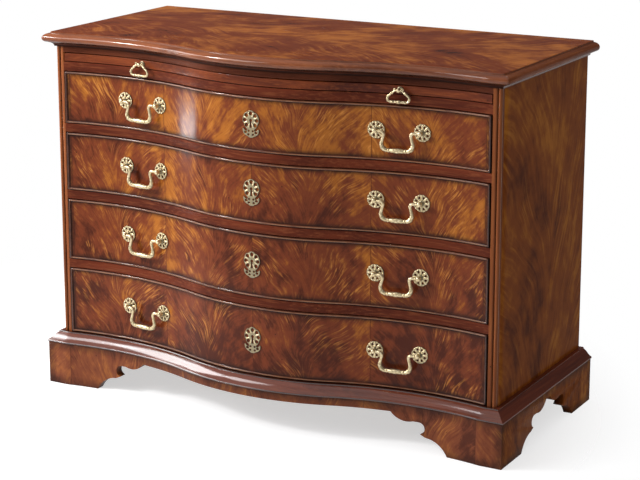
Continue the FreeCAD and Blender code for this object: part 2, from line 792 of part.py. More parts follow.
def escutcheon_pattern():
    """Pierced cartouche: crown, shoulders, waist, ears and a pointed foot, with a keyhole."""
    tall = size("plate_height") / 2
    wide = size("plate_width") / 2
    edge = ((0.30, 0.94), (0.42, 0.74), (0.86, 0.78), (1.00, 0.52), (0.74, 0.30), (0.52, 0.12),
            (0.50, -0.18), (0.92, -0.28), (0.96, -0.50), (0.62, -0.58), (0.46, -0.78), (0.20, -0.90))
    right = [(wide * across, tall * up) for across, up in edge]
    points = [(ZERO, tall)] + right + [(ZERO, -tall)] + mirrored(reversed(right), -1)
    body = doc.addObject("PartDesign::Body", "escutcheon_pattern")
    pad(body, outline(new_sketch(body, "escutcheon_outline", "XZ_Plane"), points), size("plate_thickness"))
    key = size("keyhole_radius")
    keyhole = [(key, key * 1.2), (ZERO, key * 2.2), (-key, key * 1.2), (key * -0.5, ZERO),
               (key * -0.7, key * -2.6), (key * 0.7, key * -2.6), (key * 0.5, ZERO)]
    pocket_through(body, outline(new_sketch(body, "keyhole", "XZ_Plane"), keyhole))
    eye = [(wide * 0.5, tall * 0.62), (wide * 0.8, tall * 0.62), (wide * 0.78, tall * 0.46)]
    for side, sign in SIDES:
        sketch = new_sketch(body, "pierced_eye_" + side, "XZ_Plane")
        pocket_through(body, outline(sketch, mirrored(eye, sign)))
    return body


front = size("front_thickness")
rosette_lift = size("rosette_radius").value ** 2 / (2 * hollow.value)
post_start = size("rosette_thickness") + rosette_lift + size("fit") * 2
rosette = rosette_pattern()
past_middle = -1.0
post = post_pattern("post_pattern", size("post_head"), size("post_reach"), post_start,
                    size("pin_radius") + size("pin_clearance"), past_middle)
loop_post = post_pattern("loop_post_pattern", size("loop_post"), size("loop_reach"), ZERO,
                         size("loop_pin") + size("pin_clearance"), -2 * size("loop_post").value)
bail = bail_pattern()
loop = loop_pattern()
escutcheon = escutcheon_pattern()
doc.recompute()


def place_copy(pattern, name, place):
    """A like piece, placed on the chest."""
    piece = doc.addObject("Part::Feature", name)
    piece.Shape = pattern.Shape.copy()
    piece.Placement = place.multiply(piece.Placement)
    return piece


def on_flank(x, z, lift=0.0):
    """A place on a hollow flank, square to the surface there and lifted off it."""
    slope = math.asin((abs(x) - hollow_x.value) / hollow.value)
    turn = FreeCAD.Rotation(UP, math.degrees(-slope if x > 0 else slope))
    at = FreeCAD.Vector(x, flank_y(dim(abs(x))).value, z)
    return FreeCAD.Placement(at + turn.multVec(FreeCAD.Vector(0, -lift, 0)), turn)


# Drawers
bead = size("bead")
lining = size("lining")
bead_half = opening_half - size("side_gap")
front_half = bead_half - bead
lined_half = front_half - lining
drawer_back_y = hollow_y + size("drawer_length")


def cockbeads(name, low, high):
    """Four thin strips that stand proud round a drawer front."""
    proud = size("bead_proud")
    rear = proud - size("bead_depth")
    strip = front_to_flats(bead_half, proud, bead_half, rear)
    beads = [plan_board(name + "_bead_low", strip, low, bead),
             plan_board(name + "_bead_high", strip, high - bead, bead)]
    upright = [(front_half, flank_y(front_half, proud)), (bead_half, flank_y(bead_half, proud)),
               (bead_half, flank_y(bead_half, rear)), (front_half, flank_y(front_half, rear))]
    for side, sign in SIDES:
        beads.append(plan_board("%s_bead_%s" % (name, side), (mirrored(upright, sign), {}), low + bead,
                                high - low - bead * 2))
    group(name + "_cockbeads", beads)


def drawer_box(name, floor, opening):
    """Linings and bottom behind a drawer front."""
    under = floor + size("run_gap")
    over = floor + opening - size("lining_drop")
    plan = [(lined_half, flank_y(lined_half, -front) + size("fit")),
            (front_half, flank_y(front_half, -front) + size("fit")),
            (front_half, drawer_back_y), (lined_half, drawer_back_y)]
    group(name + "_sides", [plan_board("%s_side_%s" % (name, side), (mirrored(plan, sign), {}), under,
                                       over - under) for side, sign in SIDES])
    shelf = floor + size("bottom_rise")
    shelf_top = shelf + size("drawer_bottom")
    finish(board(name + "_back", (-lined_half, drawer_back_y - lining, shelf_top),
                 (lined_half, drawer_back_y, over)), name + "_back")
    edge = planed_flats(front_half, -front - size("fit"))
    (near_x, near_y), (far_x, far_y) = edge[-2:]
    end = (lined_half, near_y + (far_y - near_y) * ((lined_half - near_x) / (far_x - near_x)))
    points = mirrored([end], -1) + edge[1:-1] + [end]
    points += [(lined_half, drawer_back_y), (-lined_half, drawer_back_y)]
    finish(plan_board(name + "_bottom", (points, {}), shelf, size("drawer_bottom")), name + "_bottom")


def drawer_brass(name, middle_z, post_z):
    """Two swan-neck handles and an escutcheon."""
    mounts = []
    for side, sign in SIDES:
        span = size("handle_span").value / 2
        middle_x = size("handle_x").value * sign
        ends = [on_flank(middle_x + end * span, post_z).Base for end in (-1, 1)]
        chord = ends[1] - ends[0]
        along = FreeCAD.Rotation(UP, math.degrees(math.atan2(chord.y, chord.x)))
        for at, turn, end in zip(ends, (along, along.multiply(HALF_TURN)), ("a", "b")):
            tag = "%s_%s_%s" % (name, side, end)
            mounts.append(place_copy(rosette, "rosette_" + tag, on_flank(at.x, post_z, rosette_lift)))
            mounts.append(place_copy(post, "post_" + tag, FreeCAD.Placement(at, turn)))
        axis = (ends[0] + ends[1]) * 0.5 + along.multVec(FreeCAD.Vector(0, -size("post_reach").value, 0))
        node = "%s_%s_bail" % (name, side)
        finish(place_copy(bail, node, FreeCAD.Placement(axis, along)), node)
        chord.normalize()
        print("%s axis %.4f %.4f %.4f along %.5f %.5f" % (node, *axis, chord.x, chord.y))
    group(name + "_handle_mounts", mounts)
    node = name + "_escutcheon"
    seat = FreeCAD.Vector(0, apex_y.value, middle_z)
    finish(place_copy(escutcheon, node, FreeCAD.Placement(seat, FreeCAD.Rotation())), node)


for number, (floor, opening) in enumerate(zip(drawer_floors, openings), start=1):
    node = "drawer_%d" % number
    low = floor + size("head_gap")
    high = floor + opening - size("head_gap")
    middle = floor + opening / 2
    post_level = middle + size("handle_lift")
    finish(plan_board(node + "_front", front_to_flats(front_half, ZERO, front_half, -front), low + bead,
                      high - low - bead * 2), node + "_front")
    cockbeads(node, low, high)
    drawer_box(node, floor, opening)
    drawer_brass(node, middle.value, post_level.value)


# Brushing slide
slide_under = slide_floor + (size("slide_opening") - size("slide_thickness")) / 2
slide_z = slide_under + size("slide_thickness") / 2
slide_half = opening_half - size("side_gap")
slide_plan = front_to_line(slide_half, ZERO, slide_half, hollow_y + size("slide_length"))
finish(plan_board("slide_board", slide_plan, slide_under, size("slide_thickness")), "slide_board")
loop_posts = []
for side, sign in SIDES:
    seat = on_flank(size("handle_x").value * sign, slide_z.value)
    loop_posts.append(place_copy(loop_post, "slide_post_" + side, seat))
    hang = on_flank(size("handle_x").value * sign, slide_z.value, size("loop_reach").value)
    finish(place_copy(loop, "slide_%s_loop" % side, hang), "slide_%s_loop" % side)
    print("slide_%s_loop axis %.4f %.4f %.4f" % (side, *hang.Base))
group("slide_loop_posts", loop_posts)
doc.recompute()

# Every object is sound before any file is written
for thing in doc.Objects:
    faults = [word for word in thing.State if word in ("Invalid", "Error")]
    if faults:
        raise RuntimeError("%s is %s" % (thing.Name, faults))
for thing in finished:
    if thing.Shape.isNull() or not thing.Shape.isValid() or not thing.Shape.Solids:
        raise RuntimeError(thing.Label + " has no sound solid")
os.makedirs("parts", exist_ok=True)
for thing in finished:
    thing.Shape.exportStep("parts/%s.step" % thing.Label)
    volume = thing.Shape.Volume / 1000.0
    print("%-26s solids %2d, %9.1f cm3" % (thing.Label, len(thing.Shape.Solids), volume))
print(len(finished), "nodes")
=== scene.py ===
# %% [markdown]
# # A serpentine chest of drawers
# The chest has four drawers behind a front that swells in the middle and hollows towards the corners.
# Its solids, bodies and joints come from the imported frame. This script makes what the eye sees: veneers,
# worked mouldings and cast brass, each piece in the place that the frame gives it.

# %% Open the frame
import json
import math

import bmesh
import bpy
from mathutils import Matrix, Vector


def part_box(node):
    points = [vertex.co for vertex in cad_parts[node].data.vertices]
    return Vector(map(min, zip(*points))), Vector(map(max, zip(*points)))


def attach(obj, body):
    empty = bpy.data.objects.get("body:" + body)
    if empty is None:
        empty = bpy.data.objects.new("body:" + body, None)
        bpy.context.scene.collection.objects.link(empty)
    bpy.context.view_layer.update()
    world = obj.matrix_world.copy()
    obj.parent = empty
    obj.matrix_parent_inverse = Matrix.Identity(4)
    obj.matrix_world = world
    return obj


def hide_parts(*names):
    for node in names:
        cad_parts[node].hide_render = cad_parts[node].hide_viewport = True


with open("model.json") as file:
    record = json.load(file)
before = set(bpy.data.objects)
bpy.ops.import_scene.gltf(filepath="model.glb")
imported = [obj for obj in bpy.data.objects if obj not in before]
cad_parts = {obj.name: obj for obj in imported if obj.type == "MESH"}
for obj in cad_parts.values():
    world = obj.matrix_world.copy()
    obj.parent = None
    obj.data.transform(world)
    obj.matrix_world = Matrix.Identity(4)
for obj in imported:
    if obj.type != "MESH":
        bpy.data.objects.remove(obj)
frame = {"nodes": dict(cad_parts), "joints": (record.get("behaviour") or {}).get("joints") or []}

scene = bpy.context.scene
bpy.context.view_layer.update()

# %% [markdown]
# ## Measures
# Heights and widths are read from the solids, so that every piece fits. They could be typed in again, but then a
# change in the solids would open gaps here. Only the serpentine's radii are written out, because no box can show
# them: a maker would keep them on the template board.

# %% Measures from the solids
def low(node):
    """Lowest corner of a solid."""
    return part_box(node)[0]


def high(node):
    """Highest corner of a solid."""
    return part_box(node)[1]


CASE_HALF = high("right_side").x
OPENING_HALF = low("right_side").x
BACK_Y = high("top").y
DRAWERS = ("drawer_1", "drawer_2", "drawer_3", "drawer_4")
SIDES = (("left", -1), ("right", 1))
print("case half width %.4f, opening half width %.4f" % (CASE_HALF, OPENING_HALF))

# %% The template of the front
BULGE = 0.500
HOLLOW = 0.660
HOLLOW_X = 0.395
CORNER_STEP = 0.011
APEX_Y = round(low("drawer_1_front").y, 3)
BULGE_CENTRE = APEX_Y + BULGE
HOLLOW_CENTRE = BULGE_CENTRE - math.sqrt((BULGE + HOLLOW) ** 2 - HOLLOW_X ** 2)
CORNER_Y = HOLLOW_CENTRE + HOLLOW - CORNER_STEP


def front_y(x, reach=0.0):
    """Where the front lies at x, moved outwards by reach."""
    away = abs(x)
    if away < HOLLOW_X * (BULGE + reach) / (BULGE + HOLLOW):
        return BULGE_CENTRE - math.sqrt((BULGE + reach) ** 2 - away ** 2)
    flank = HOLLOW_CENTRE + math.sqrt((HOLLOW - reach) ** 2 - (away - HOLLOW_X) ** 2)
    return max(flank, CORNER_Y - reach) if away > HOLLOW_X else flank


print("belly at %.4f, hollow at %.4f, corner at %.4f" % (front_y(0), front_y(HOLLOW_X), CORNER_Y))

# %% [markdown]
# ## Small tools for node trees
# Finishes and repeated pieces are both node trees, and both need the same three moves: add a node, wire or
# set its inputs, and take one output. Nodes could be placed by hand in the editor, but a script can be read and
# changed line by line. A few helpers keep the trees below as short as a recipe.

# %% Adding nodes
def add(tree, kind, feeds=None, **settings):
    """Add a node: settings are its properties, feeds its inputs as links or plain values."""
    node = tree.nodes.new(kind)
    for name, value in settings.items():
        setattr(node, name, value)
    for key, value in (feeds or {}).items():
        if isinstance(value, bpy.types.NodeSocket):
            tree.links.new(value, node.inputs[key])
        else:
            node.inputs[key].default_value = value
    return node


def calc(tree, operation, *values):
    """One step of arithmetic in a tree."""
    return add(tree, "ShaderNodeMath", dict(enumerate(values)), operation=operation).outputs[0]


def new_tree(name, kind, inputs, outputs):
    """A node group with named sockets, its inputs and its outputs."""
    tree = bpy.data.node_groups.new(name, kind)
    for label, socket, value in inputs:
        made = tree.interface.new_socket(label, in_out="INPUT", socket_type=socket)
        if value is not None:
            made.default_value = value
    for label, socket in outputs:
        tree.interface.new_socket(label, in_out="OUTPUT", socket_type=socket)
    start = tree.nodes.new("NodeGroupInput")
    end = tree.nodes.new("NodeGroupOutput")
    return tree, start.outputs, end.inputs


FLOAT = "NodeSocketFloat"
COUNT = "NodeSocketInt"
VECTOR = "NodeSocketVector"
COLOUR = "NodeSocketColor"
SHAPE = "NodeSocketGeometry"
FINISH = "NodeSocketMaterial"
print("kinds of socket:", FLOAT, COUNT, VECTOR, COLOUR, SHAPE, FINISH)

# %% Colours and patterns
def paint(red, green, blue):
    """A colour as it is read off a swatch, 0 to 255, for a node socket."""
    channels = [c / 255 for c in (red, green, blue)]
    return tuple(((c + 0.055) / 1.055) ** 2.4 if c > 0.04 else c / 12.92 for c in channels) + (1.0,)


def mixed(tree, share, first, second):
    """Two colours mixed by a share."""
    return add(tree, "ShaderNodeMix", {0: share, 6: first, 7: second}, data_type="RGBA").outputs[2]


def clouds(tree, place, scale, detail=3.0, roughness=0.55):
    """Soft noise over a place."""
    feeds = {"Vector": place, "Scale": scale, "Detail": detail, "Roughness": roughness}
    return add(tree, "ShaderNodeTexNoise", feeds).outputs["Fac"]


def between(tree, value, start, end, first=0.0, last=1.0):
    """A value's way from start to end as a smooth mask."""
    feeds = {"Value": value, "From Min": start, "From Max": end, "To Min": first, "To Max": last}
    return add(tree, "ShaderNodeMapRange", feeds, interpolation_type="SMOOTHSTEP").outputs[0]


def stretched(tree, place, x, y, z):
    """A place with each axis stretched or squeezed."""
    return add(tree, "ShaderNodeVectorMath", {0: place, 1: (x, y, z)}, operation="MULTIPLY").outputs[0]


def centred(tree, value, amount, middle=0.5):
    """How far a value lies from its middle, times an amount."""
    return calc(tree, "MULTIPLY", calc(tree, "SUBTRACT", value, middle), amount)


print("a red-brown swatch for a socket:", ["%.3f" % c for c in paint(120, 57, 31)])

# %% [markdown]
# ## Flame figure
# The drawer fronts are veneered with leaves cut where the trunk forks. Each leaf is opened like a book next
# to its neighbour, so short gold strokes fan upwards from a spine to both sides, over soft amber clouds. A drawn
# picture could not be scaled, so Ping-Pong folds the leaves and noise is drawn out along the fanning fibres.

# %% The fan of fibres
FAN_CURVE = 0.65
LEAF_STEP = 2.7
flame, flame_in, flame_out = new_tree("flame_figure", "ShaderNodeTree", [
    ("Vector", VECTOR, None), ("Leaf", FLOAT, 0.252), ("Spine", FLOAT, 0.122), ("Fan", FLOAT, 0.75),
    ("Across", FLOAT, 150.0), ("Along", FLOAT, 52.0), ("Strokes", FLOAT, 0.66), ("Rise", FLOAT, 0.0),
    ("Warmth", FLOAT, 0.0), ("Dark", COLOUR, paint(78, 34, 20)), ("Middle", COLOUR, paint(120, 57, 31)),
    ("Amber", COLOUR, paint(172, 102, 38)), ("Gold", COLOUR, paint(214, 142, 66))],
    [("Colour", COLOUR), ("Pores", FLOAT)])
wander = centred(flame, clouds(flame, flame_in["Vector"], 5.0, 2.0), 0.13)
ripple = centred(flame, clouds(flame, flame_in["Vector"], 20.0, 2.0), 0.007)
spot = add(flame, "ShaderNodeSeparateXYZ", {0: flame_in["Vector"]}).outputs
leaf_x = calc(flame, "PINGPONG", spot["X"], flame_in["Leaf"])
leaf_number = calc(flame, "FLOOR", calc(flame, "DIVIDE", spot["X"], flame_in["Leaf"]))
from_spine = calc(flame, "ADD", calc(flame, "SUBTRACT", leaf_x, flame_in["Spine"]), wander)
fan = calc(flame, "POWER", calc(flame, "ABSOLUTE", from_spine), FAN_CURVE)
climb = calc(flame, "MULTIPLY", fan, flame_in["Fan"])
across = calc(flame, "ADD", calc(flame, "SUBTRACT", spot["Z"], climb), ripple)
fibre = add(flame, "ShaderNodeCombineXYZ", {0: calc(flame, "MULTIPLY", across, flame_in["Across"]),
                                            1: calc(flame, "MULTIPLY", from_spine, flame_in["Along"]),
                                            2: calc(flame, "MULTIPLY", leaf_number, LEAF_STEP)}).outputs[0]
print("fan of fibres:", len(flame.nodes), "nodes")

# %% Clouds and glow
LEAF_SHIFT = 0.37
CHEST_MIDDLE = 0.43
GLOW_WIDE, GLOW = 0.06, 0.07
leaf_shift = add(flame, "ShaderNodeCombineXYZ", {1: calc(flame, "MULTIPLY", leaf_number, LEAF_SHIFT)}).outputs[0]
on_leaf = add(flame, "ShaderNodeVectorMath", {0: flame_in["Vector"], 1: leaf_shift}, operation="ADD").outputs[0]
hatch = clouds(flame, fibre, 1.0, 2.0, 0.5)
cloud = clouds(flame, stretched(flame, fibre, 0.13, 0.5, 1.5), 1.0, 4.0, 0.6)
drifts = clouds(flame, on_leaf, 8.0, 4.0, 0.6)
patches = clouds(flame, stretched(flame, on_leaf, 1.0, 1.0, 0.7), 26.0, 5.0, 0.68)
curl = clouds(flame, on_leaf, 46.0, 3.0)
from_joint = calc(flame, "SUBTRACT", flame_in["Leaf"], leaf_x)
joint_glow = between(flame, from_joint, GLOW_WIDE, 0.0, 0.0, GLOW)
# Painted light: the figure turns more amber above the chest's middle and darker below it, as if lit from above.
lit_higher = centred(flame, spot["Z"], flame_in["Rise"], CHEST_MIDDLE)
amber = calc(flame, "ADD", calc(flame, "MULTIPLY", cloud, 0.32), calc(flame, "MULTIPLY", drifts, 0.34))
amber = calc(flame, "MULTIPLY_ADD", patches, 0.34, amber)
for more in (centred(flame, hatch, 0.13), joint_glow, centred(flame, curl, 0.14), lit_higher, flame_in["Warmth"]):
    amber = calc(flame, "ADD", amber, more)
print("with clouds and glow:", len(flame.nodes), "nodes")

# %% Strokes and joints
fine = clouds(flame, stretched(flame, fibre, 2.4, 1.6, 1.0), 1.0, 2.0)
flocks = clouds(flame, stretched(flame, on_leaf, 1.0, 1.0, 0.75), 17.0, 3.0)
strokes = calc(flame, "ADD", calc(flame, "MULTIPLY", hatch, 0.62), calc(flame, "MULTIPLY", fine, 0.38))
flock = between(flame, calc(flame, "MULTIPLY_ADD", amber, 0.4, flocks), 0.64, 0.90)
bright = calc(flame, "MULTIPLY", between(flame, strokes, 0.50, 0.64), flock)
bright = calc(flame, "MULTIPLY", bright, flame_in["Strokes"])
dim = between(flame, strokes, 0.46, 0.34, 0.0, 0.22)
joint = between(flame, calc(flame, "MINIMUM", leaf_x, from_joint), 0.0011, 0.0004, 0.0, 0.7)
flame_colour = mixed(flame, between(flame, amber, 0.38, 0.51), flame_in["Dark"], flame_in["Middle"])
flame_colour = mixed(flame, between(flame, amber, 0.50, 0.65), flame_colour, flame_in["Amber"])
for mask, tone in ((bright, "Gold"), (dim, "Dark"), (joint, "Dark")):
    flame_colour = mixed(flame, mask, flame_colour, flame_in[tone])
flame.links.new(flame_colour, flame_out["Colour"])
flame.links.new(fine, flame_out["Pores"])
print("flame figure:", len(flame.nodes), "nodes")

# %% [markdown]
# ## Straight grain
# Rails, mouldings, stiles and linings are solid wood with the grain running lengthwise. A Wave texture could draw
# it, but its bands come back at even steps, so noise is stretched along the grain instead. One group serves all
# pieces: each material turns its place so that the grain lies along X, and gives the colours.

# %% The straight grain as a group
grain, grain_in, grain_out = new_tree("straight_grain", "ShaderNodeTree", [
    ("Vector", VECTOR, None), ("Figure", FLOAT, 0.5), ("Dark", COLOUR, paint(82, 36, 24)),
    ("Middle", COLOUR, paint(110, 50, 31)), ("Light", COLOUR, paint(142, 76, 44))],
    [("Colour", COLOUR), ("Pores", FLOAT)])
bands = clouds(grain, stretched(grain, grain_in["Vector"], 1.6, 34.0, 34.0), 1.0, 4.0)
fibres = clouds(grain, stretched(grain, grain_in["Vector"], 9.0, 260.0, 260.0), 1.0, 4.0, 0.6)
pits = clouds(grain, stretched(grain, grain_in["Vector"], 26.0, 900.0, 900.0), 1.0, 2.0)
pores = between(grain, pits, 0.36, 0.46)
shine = calc(grain, "MULTIPLY", between(grain, fibres, 0.45, 0.75), grain_in["Figure"])
sunk_pores = calc(grain, "MULTIPLY", calc(grain, "SUBTRACT", 1.0, pores), 0.35)
tone = mixed(grain, between(grain, bands, 0.32, 0.68), grain_in["Dark"], grain_in["Middle"])
tone = mixed(grain, shine, tone, grain_in["Light"])
tone = mixed(grain, sunk_pores, tone, grain_in["Dark"])
grain.links.new(tone, grain_out["Colour"])
grain.links.new(pores, grain_out["Pores"])
print("straight grain:", len(grain.nodes), "nodes")

# %% [markdown]
# ## Age, painted light and polish
# The wood is finished as if old, with light and shade painted in as well. Wax and painted shade darken it along
# the beads, in the quirks and under the top's nose, the beads' crests are painted paler as a highlight line, and
# small dark specks lie scattered over it all. The polish is a thin gloss that sinks a little into the pores. A
# shader could look for edges by itself, but it can't tell a quirk from a mitre, so each piece stores where its wax
# and painted shade lie. Every wood here uses both effects, so both are groups.

# %% Antiquing and painted light as a group
aging_and_light, aging_and_light_in, aging_and_light_out = new_tree("age_and_painted_light", "ShaderNodeTree", [
    ("Colour", COLOUR, None), ("Vector", VECTOR, None), ("Edge_wax_and_shade", FLOAT, 0.0), ("Crest_highlight", FLOAT, 0.0),
    ("Wax_and_shade_tone", COLOUR, paint(34, 18, 13)), ("Highlight_tone", COLOUR, paint(176, 126, 88))],
    [("Colour", COLOUR)])
cells = add(aging_and_light, "ShaderNodeTexVoronoi", {"Vector": aging_and_light_in["Vector"], "Scale": 55.0}).outputs
chosen = add(aging_and_light, "ShaderNodeSeparateColor", {0: cells["Color"]}).outputs
speck_size = calc(aging_and_light, "MULTIPLY", chosen["Green"], 0.10)
speck = calc(aging_and_light, "LESS_THAN", cells["Distance"], speck_size)
speck = calc(aging_and_light, "MULTIPLY", speck, calc(aging_and_light, "GREATER_THAN", chosen["Red"], 0.72))
speck = calc(aging_and_light, "MULTIPLY", speck, 0.7)
uneven = clouds(aging_and_light, aging_and_light_in["Vector"], 26.0, 3.0)
# Wax and painted shade along edges, quirks and creases, made uneven by noise.
edge = calc(aging_and_light, "MULTIPLY", aging_and_light_in["Edge_wax_and_shade"], between(aging_and_light, uneven, 0.2, 0.65, 0.55, 1.0))
# A painted highlight: paler along the beads' crests.
crest_highlight_share = calc(aging_and_light, "MULTIPLY", aging_and_light_in["Crest_highlight"], between(aging_and_light, uneven, 0.25, 0.6, 0.1, 0.8))
aged_and_lit_colour = aging_and_light_in["Colour"]
for mask, tone in ((speck, "Wax_and_shade_tone"), (edge, "Wax_and_shade_tone"), (crest_highlight_share, "Highlight_tone")):
    aged_and_lit_colour = mixed(aging_and_light, mask, aged_and_lit_colour, aging_and_light_in[tone])
aging_and_light.links.new(aged_and_lit_colour, aging_and_light_out["Colour"])
print("antiquing:", len(aging_and_light.nodes), "nodes")

# %% Polish as a group
polish, polish_in, polish_out = new_tree("polish", "ShaderNodeTree", [
    ("Vector", VECTOR, None), ("Pores", FLOAT, 0.5), ("Gloss", FLOAT, 0.24)],
    [("Roughness", FLOAT), ("Height", FLOAT)])
rubbed = clouds(polish, polish_in["Vector"], 14.0, 3.0)
rough = calc(polish, "ADD", polish_in["Gloss"], centred(polish, rubbed, 0.16))
rough = calc(polish, "SUBTRACT", rough, centred(polish, polish_in["Pores"], 0.06))
waves = clouds(polish, polish_in["Vector"], 30.0, 2.0)
sunk = calc(polish, "ADD", calc(polish, "MULTIPLY", polish_in["Pores"], 0.3), waves)
polish.links.new(rough, polish_out["Roughness"])
polish.links.new(sunk, polish_out["Height"])
print("polish:", len(polish.nodes), "nodes")

# %% [markdown]
# ## The wood finishes
# A finish is one figure, aged, with painted light and shade, and polished, on a Principled shader. Each board could
# be drawn by itself, but the same figure with other tones, turns and sizes serves them all. Wood under shellac
# reflects less than bare plastic would, so its specular level is low, and a thin coat gives the glints on beads and
# mouldings.

# %% Building a wood finish
COAT_ROUGHNESS = 0.10
finishes = {}


def wood(name, figure, turn=(0.0, 0.0, 0.0), move=(0.0, 0.0, 0.0), size=1.0, gloss=0.24, specular=0.12, coat=0.0,
         bump=0.00006, **values):
    """A wood: turn, move and size lay the grain of a figure, and values set the figure's inputs, swatches too."""
    material = bpy.data.materials.new(name)
    material.use_nodes = True
    tree = material.node_tree
    shader = tree.nodes["Principled BSDF"]
    place = add(tree, "ShaderNodeTexCoord").outputs["Object"]
    lie = {"Vector": place, "Rotation": turn, "Location": move, "Scale": [1.0 / size] * 3}
    feeds = {"Vector": add(tree, "ShaderNodeMapping", lie).outputs[0]}
    for label, value in values.items():
        feeds[label] = paint(*value) if isinstance(value, tuple) else value
    look = add(tree, "ShaderNodeGroup", feeds, node_tree=figure).outputs
    feeds = {"Colour": look["Colour"], "Vector": place}
    # Each piece stores its share of wax and painted shade, and its share of painted crest highlight.
    for label, attribute in (("Edge_wax_and_shade", "wax_and_shade"), ("Crest_highlight", "crest")):
        feeds[label] = add(tree, "ShaderNodeAttribute", attribute_name=attribute).outputs["Fac"]
    aged_and_lit = add(tree, "ShaderNodeGroup", feeds, node_tree=aging_and_light).outputs["Colour"]
    feeds = {"Vector": place, "Pores": look["Pores"], "Gloss": gloss}
    film = add(tree, "ShaderNodeGroup", feeds, node_tree=polish).outputs
    relief = add(tree, "ShaderNodeBump", {"Strength": 0.5, "Distance": bump, "Height": film["Height"]}).outputs[0]
    for label, value in (("Base Color", aged_and_lit), ("Roughness", film["Roughness"]), ("Normal", relief)):
        tree.links.new(value, shader.inputs[label])
    shader.inputs["Specular IOR Level"].default_value = specular
    shader.inputs["Coat Weight"].default_value = coat
    shader.inputs["Coat Roughness"].default_value = COAT_ROUGHNESS
    finishes[name] = material


QUARTER = math.pi / 2
UPRIGHT = (0.0, QUARTER, 0.0)
TO_BACK = (0.0, 0.0, QUARTER)
ALONG_TOP = (-QUARTER, -QUARTER, 0.0)
side_tones = {"Dark": (84, 38, 14), "Middle": (128, 66, 24), "Amber": (170, 104, 36), "Gold": (186, 122, 48)}
large_leaf = {"size": 2.0, "Leaf": 0.3, "Spine": 0.15}
# The fronts carry the painted light that brightens them higher up the chest.
wood("flame_veneer", flame, gloss=0.14, Rise=0.2)
wood("flame_top", flame, turn=ALONG_TOP, move=(0.15, 0.0, 0.0), specular=0.006, Along=34.0, Across=120.0,
     Strokes=0.4, Warmth=0.03, Dark=(68, 27, 14), Middle=(120, 54, 25), Amber=(176, 102, 43), Gold=(190, 120, 54),
     **large_leaf)
wood("flame_side", flame, turn=TO_BACK, move=(0.175, 0.0, 0.0), specular=0.005, Fan=1.0, Along=30.0, Across=110.0,
     Strokes=0.45, **large_leaf, **side_tones)
wood("flame_apron", flame, Fan=1.0, Strokes=0.5, Dark=(84, 41, 27), Middle=(125, 67, 42), Amber=(162, 97, 51))
wood("flame_side_apron", flame, turn=TO_BACK, specular=0.005, Fan=1.0, Strokes=0.4, **side_tones)
print("veneers:", ", ".join(finishes))

# %% Solid woods and linings
edge_tones = {"Dark": (98, 50, 30), "Middle": (146, 82, 50), "Light": (172, 104, 62)}
bare = {"gloss": 0.62, "bump": 0.0003}
wood("rail_wood", grain, gloss=0.32, specular=0.06, Light=(150, 86, 54))
# Painted shade: the frieze and the cove under the top's nose get darker tones than the rails.
wood("painted_shade_wood", grain, gloss=0.32, specular=0.05, Figure=0.3, Dark=(72, 34, 22), Middle=(100, 51, 33),
     Light=(124, 68, 45))
wood("moulding_wood", grain, gloss=0.17, specular=0.5, coat=0.8, Figure=0.3)
wood("side_moulding_wood", grain, turn=TO_BACK, gloss=0.16, Figure=0.3)
wood("slide_wood", grain, Middle=(130, 62, 32), Light=(158, 84, 44))
wood("stile_wood", grain, turn=UPRIGHT, Dark=(112, 58, 30), Middle=(148, 82, 44), Light=(180, 110, 60))
wood("bead_wood", grain, gloss=0.15, specular=0.25, coat=0.3, Dark=(66, 32, 20), Middle=(98, 52, 32),
     Light=(126, 70, 44))
wood("top_edge", grain, gloss=0.15, specular=0.28, coat=0.2, **edge_tones)
wood("top_side_edge", grain, turn=TO_BACK, gloss=0.3, specular=0.02, **edge_tones)
wood("lining_along", grain, turn=TO_BACK, Dark=(128, 90, 56), Middle=(160, 120, 78), Light=(188, 150, 104), **bare)
wood("lining_across", grain, Dark=(126, 88, 54), Middle=(158, 118, 76), Light=(186, 148, 100), **bare)
print("wood finishes:", len(finishes))

# %% [markdown]
# ## Cast brass
# The handles are cast, filed and lacquered to look old: pale on everything that a hand rubs, olive-brown patina
# with painted shade where polish never reached. Each casting carries its own depth as a point attribute called
# recess, because the hollows follow the casting and no noise could find them.

# %% The brass finish
brass = bpy.data.materials.new("antique_brass")
brass.use_nodes = True
tree = brass.node_tree
shader = tree.nodes["Principled BSDF"]
place = add(tree, "ShaderNodeTexCoord").outputs["Object"]
recess = add(tree, "ShaderNodeAttribute", attribute_name="recess").outputs["Fac"]
blotch = clouds(tree, place, 260.0, 4.0, 0.6)
# Patina and painted shade: darker and less metallic where the recess marks a hollow.
patina_and_shade = between(tree, calc(tree, "ADD", recess, centred(tree, blotch, 0.5, 0.55)), 0.15, 0.85)
rubbed_tone = mixed(tree, between(tree, blotch, 0.35, 0.7), paint(202, 182, 140), paint(236, 220, 184))
tree.links.new(mixed(tree, patina_and_shade, rubbed_tone, paint(46, 36, 20)), shader.inputs["Base Color"])
tree.links.new(between(tree, patina_and_shade, 0.0, 1.0, 0.92, 0.35), shader.inputs["Metallic"])
tree.links.new(between(tree, blotch, 0.2, 0.8, 0.30, 0.48), shader.inputs["Roughness"])
cast_skin = {"Strength": 0.35, "Distance": 0.0003, "Height": clouds(tree, place, 420.0, 3.0)}
tree.links.new(add(tree, "ShaderNodeBump", cast_skin).outputs[0], shader.inputs["Normal"])
print("brass finish:", len(tree.nodes), "nodes")

# %% [markdown]
# ## Bending a straight piece to the serpentine
# A maker bandsaws every rail, bead and moulding to the template. Here each is first drawn straight, with two
# numbers at every point: its reach from the template, and whether the point follows the template at all, as a
# front edge does and a straight back edge doesn't. One Geometry Nodes tree then lays all of them on the curve. A
# Curve modifier could bend them too, but it would turn the section as it goes and bend the back as well.

